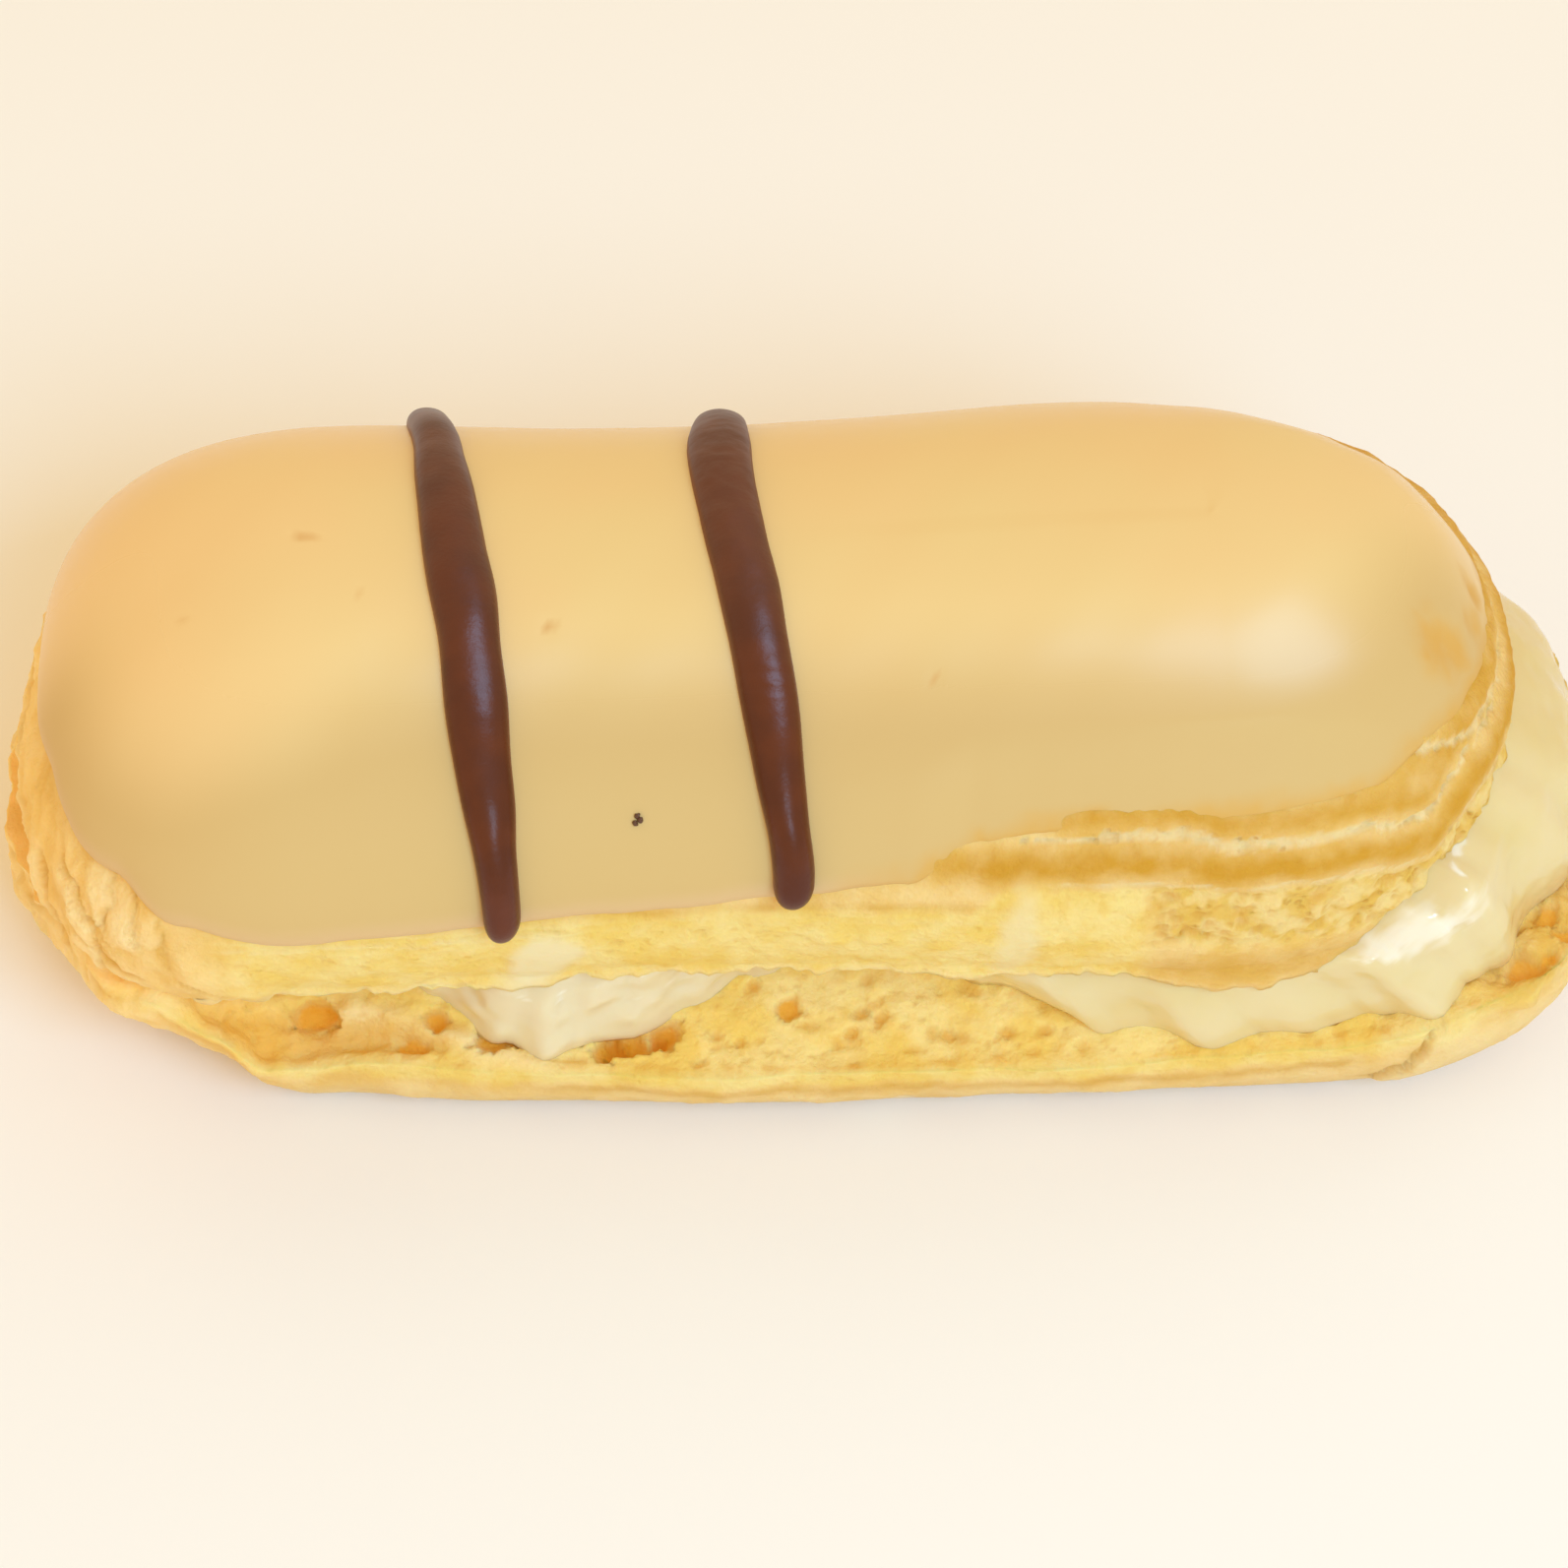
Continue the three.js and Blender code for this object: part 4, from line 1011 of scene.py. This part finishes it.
def choux_material():
    material, mix = new_recipe("baked_choux")
    crumb, golden, pale = mix.value("crumb"), mix.value("golden"), mix.value("pale")
    hole, cracked, wash = mix.value("hole"), mix.value("cracked"), mix.value("wash")
    broad, patch, fine = mix.noise(0.25, 3.0), mix.noise(0.5, 2.0), mix.noise(1.1, 3.0)
    pores = mix.cells(1.0, (1.0, 1.0, 1.3)).between(0.4, 0.14) * patch.between(0.5, 0.6)
    pores = pores * (crumb * 0.3 + cracked).clamped()
    crust = mix.tint(broad.between(0.35, 0.65), PALE_CRUST, TAN_CRUST)
    crust = mix.tint((golden * (0.45 + 1.0 * patch)).clamped(), crust, GOLDEN_CRUST)
    inner = mix.tint(broad.between(0.35, 0.65), PALE_CRUMB, YELLOW_CRUMB)
    inner = mix.tint(fine.between(0.45, 0.8) * 0.3, inner, DEEP_CRUMB)
    inner = mix.tint(cracked * 0.9, inner, mix.tint(patch.between(0.42, 0.6), PALE_PORES, BROWN_PORES))
    colour = mix.tint(crumb * (1 - 0.6 * golden), crust, inner)
    colour = mix.tint((pale * (0.5 + 0.8 * fine)).clamped(), colour, DRY_FLAKE)
    # Painted shade and amber glow in holes, pores and the hollow, more saturated in deeper holes
    baked = mix.tint(hole.between(0.45, 0.75), SHALLOW_HOLE_SHADE, DEEP_HOLE_SHADE)
    colour = mix.tint((hole * 0.95 + 0.55 * pores).clamped(), colour, baked)
    colour = mix.tint(wash * 0.88, colour, CREAM_WASH)
    # Painted glow: the shell emits light, though it is no lamp
    glow = mix.tint(mix.value("glow"), BLACK, mix.tint(hole, CRUMB_GLOW, HOLE_GLOW))
    height = (mix.noise(2.4, 4.0) - 0.8 * pores) * (1 - 0.85 * wash)
    finish_recipe(mix, {"Base Color": colour, "Roughness": 0.62 + 0.25 * fine - 0.4 * wash,
                        "Normal": mix.bump(height, 0.3, 0.6), "Emission Color": glow},
                  {"Subsurface Weight": 0.35, "Subsurface Radius": (1.0, 0.6, 0.25),
                   "Subsurface Scale": 0.6 * MM, "Specular IOR Level": 0.25, "Emission Strength": 0.2})
    return material


def cream_material():
    material, mix = new_recipe("custard_cream")
    broad, fine = mix.noise(0.12, 2.0), mix.noise(0.5, 3.0)
    colour = mix.tint(broad.between(0.3, 0.7), PALE_CREAM, YELLOW_CREAM)
    colour = mix.tint(mix.value("white") * 0.8, colour, WHITE_CREAM)
    # Painted highlight: the cream is tinted near-white where it would catch the light.
    colour = mix.tint(mix.value("gleam") * 0.68, colour, HIGHLIGHT_CREAM)
    finish_recipe(mix, {"Base Color": colour, "Roughness": 0.1 + 0.14 * fine,
                        "Normal": mix.bump(fine, 0.2, 0.12)},
                  {"Subsurface Weight": 0.4, "Subsurface Radius": (1.0, 0.8, 0.5),
                   "Subsurface Scale": 0.9 * MM, "Specular IOR Level": 0.55})
    return material


def icing_material():
    material, mix = new_recipe("caramel_icing")
    thin, broad, fine = mix.value("thin"), mix.noise(0.05, 2.0), mix.noise(0.7, 3.0)
    colour = mix.tint(broad.between(0.3, 0.7), CARAMEL, YELLOW_CARAMEL)
    # Painted shade low on the front
    colour = mix.tint(mix.value("low") * 0.85, colour, FRONT_SHADE_CARAMEL)
    colour = mix.tint(mix.value("lip") * 0.6, colour, LIP_CARAMEL)
    # Painted warm light on the left end
    colour = mix.tint(mix.value("peach") * 0.7, colour, WARM_LIT_CARAMEL)
    colour = mix.tint((thin * (0.5 + 0.8 * fine)).clamped(), colour, THIN_CARAMEL)
    colour = mix.tint(mix.value("spot") * 0.7, colour, CARAMEL_SPOT)
    colour = mix.tint(mix.value("dark"), colour, DARK_CRUMB)
    finish_recipe(mix, {"Base Color": colour, "Roughness": 0.27 + 0.2 * thin + 0.3 * mix.value("satin"),
                        "Normal": mix.bump(mix.noise(0.25, 1.0), 0.2, 0.04)}, {"Specular IOR Level": 0.4})
    return material


def chocolate_material():
    material, mix = new_recipe("piped_chocolate")
    thick, pitted = mix.value("thick"), mix.value("pitted")
    broad, fine = mix.noise(0.25, 3.0), mix.noise(2.4, 3.0)
    colour = mix.tint(broad.between(0.3, 0.7), BROWN_CHOCOLATE, DARK_CHOCOLATE)
    colour = mix.tint(pitted * 0.35, colour, PITTED_CHOCOLATE)
    colour = mix.tint(thick.between(0.45, 0.05), colour, THIN_CHOCOLATE)
    finish_recipe(mix, {"Base Color": colour, "Roughness": 0.3 + 0.08 * broad + 0.12 * pitted,
                        "Normal": mix.bump(fine, 0.1, 0.25)}, {"Specular IOR Level": 0.4})
    return material


def table_material():
    material, mix = new_recipe("pale_table")
    cloudy = mix.noise(0.01, 1.0)
    finish_recipe(mix, {"Base Color": mix.tint(cloudy, TABLE_PALE, TABLE_PALER),
                        "Roughness": 0.6 + 0.05 * cloudy}, {"Specular IOR Level": 0.2})
    return material


# Camera, table and light: places in metres, the lens and its sensor in millimetres. One lamp lights all but
# the gloss and two light only that, so that the highlights sit where they should.
VIEW = dict(turn=-2.5, height=48, away=0.45, target=(-0.0019, -0.00585, 0.022), sensor=36, lens=137.29)
TABLE_HALF = 1.5
ROOM_COLOUR, ROOM_STRENGTH = (1.0, 0.807, 0.508, 1.0), 0.9
LAMPS = [  # name, direction, size, power, colour, whether it lights only the gloss
    ("window_light", (0.31, -0.7, 0.64), 0.43, 8.5, (0.26, 0.565, 1.0), False),
    ("ceiling_lamp", (0.32, 0.22, 0.92), 0.42, 4.4, (0.3, 0.62, 1.0), True),
    ("low_lamp", (0.25, -0.72, 0.65), 0.12, 1.6, (0.4, 0.7, 1.0), True),
]
LAMP_AWAY, LAMP_TARGET = 1.0, Vector((0, 0, 0.02))


def add_camera():
    turn, height = math.radians(VIEW["turn"]), math.radians(VIEW["height"])
    back = Vector((math.sin(turn) * math.cos(height), -math.cos(turn) * math.cos(height), math.sin(height)))
    view = bpy.data.cameras.new("photo_view")
    view.sensor_width = VIEW["sensor"]
    view.lens = VIEW["lens"]
    made = bpy.data.objects.new("photo_view", view)
    made.location = Vector(VIEW["target"]) + VIEW["away"] * back
    made.rotation_mode = "QUATERNION"
    made.rotation_quaternion = (-back).to_track_quat("-Z", "Y")
    bpy.context.scene.collection.objects.link(made)
    bpy.context.scene.camera = made


def add_lamp(name, direction, size, power, colour, gloss_only):
    """A soft square lamp that faces the eclair."""
    lamp = bpy.data.lights.new(name, "AREA")
    lamp.size = size
    lamp.energy = power
    lamp.color = colour
    made = bpy.data.objects.new(name, lamp)
    toward = Vector(direction).normalized()
    made.location = toward * LAMP_AWAY + LAMP_TARGET
    made.rotation_mode = "QUATERNION"
    made.rotation_quaternion = (-toward).to_track_quat("-Z", "Y")
    made.visible_glossy = gloss_only
    made.visible_diffuse = not gloss_only
    bpy.context.scene.collection.objects.link(made)


def add_table():
    half = TABLE_HALF
    corners = [(-half, -half, 0), (half, -half, 0), (half, half, 0), (-half, half, 0)]
    mesh = bpy.data.meshes.new("table_top")
    mesh.from_pydata(corners, [], [(0, 1, 2, 3)])
    mesh.materials.append(table_material())
    made = bpy.data.objects.new("table_top", mesh)
    bpy.context.scene.collection.objects.link(made)


def add_room():
    world = bpy.data.worlds.new("warm_room")
    world.use_nodes = True
    bpy.context.scene.world = world
    sky = world.node_tree.nodes["Background"]
    sky.inputs["Color"].default_value = ROOM_COLOUR
    sky.inputs["Strength"].default_value = ROOM_STRENGTH


piece("choux_shell", choux_parts(), "choux", choux_material())
piece("custard_cream", cream_parts(), "cream", cream_material())
piece("caramel_icing", icing_parts(), "icing", icing_material())
chocolate = chocolate_material()
for stripe_node, sizes in STRIPES.items():
    piece("chocolate_" + stripe_node, stripe_parts(**sizes), stripe_node, chocolate)
add_table()
add_camera()
add_room()
for lamp_sizes in LAMPS:
    add_lamp(*lamp_sizes)
scene = bpy.context.scene
scene.view_settings.view_transform = "Standard"
scene.view_settings.look = "None"
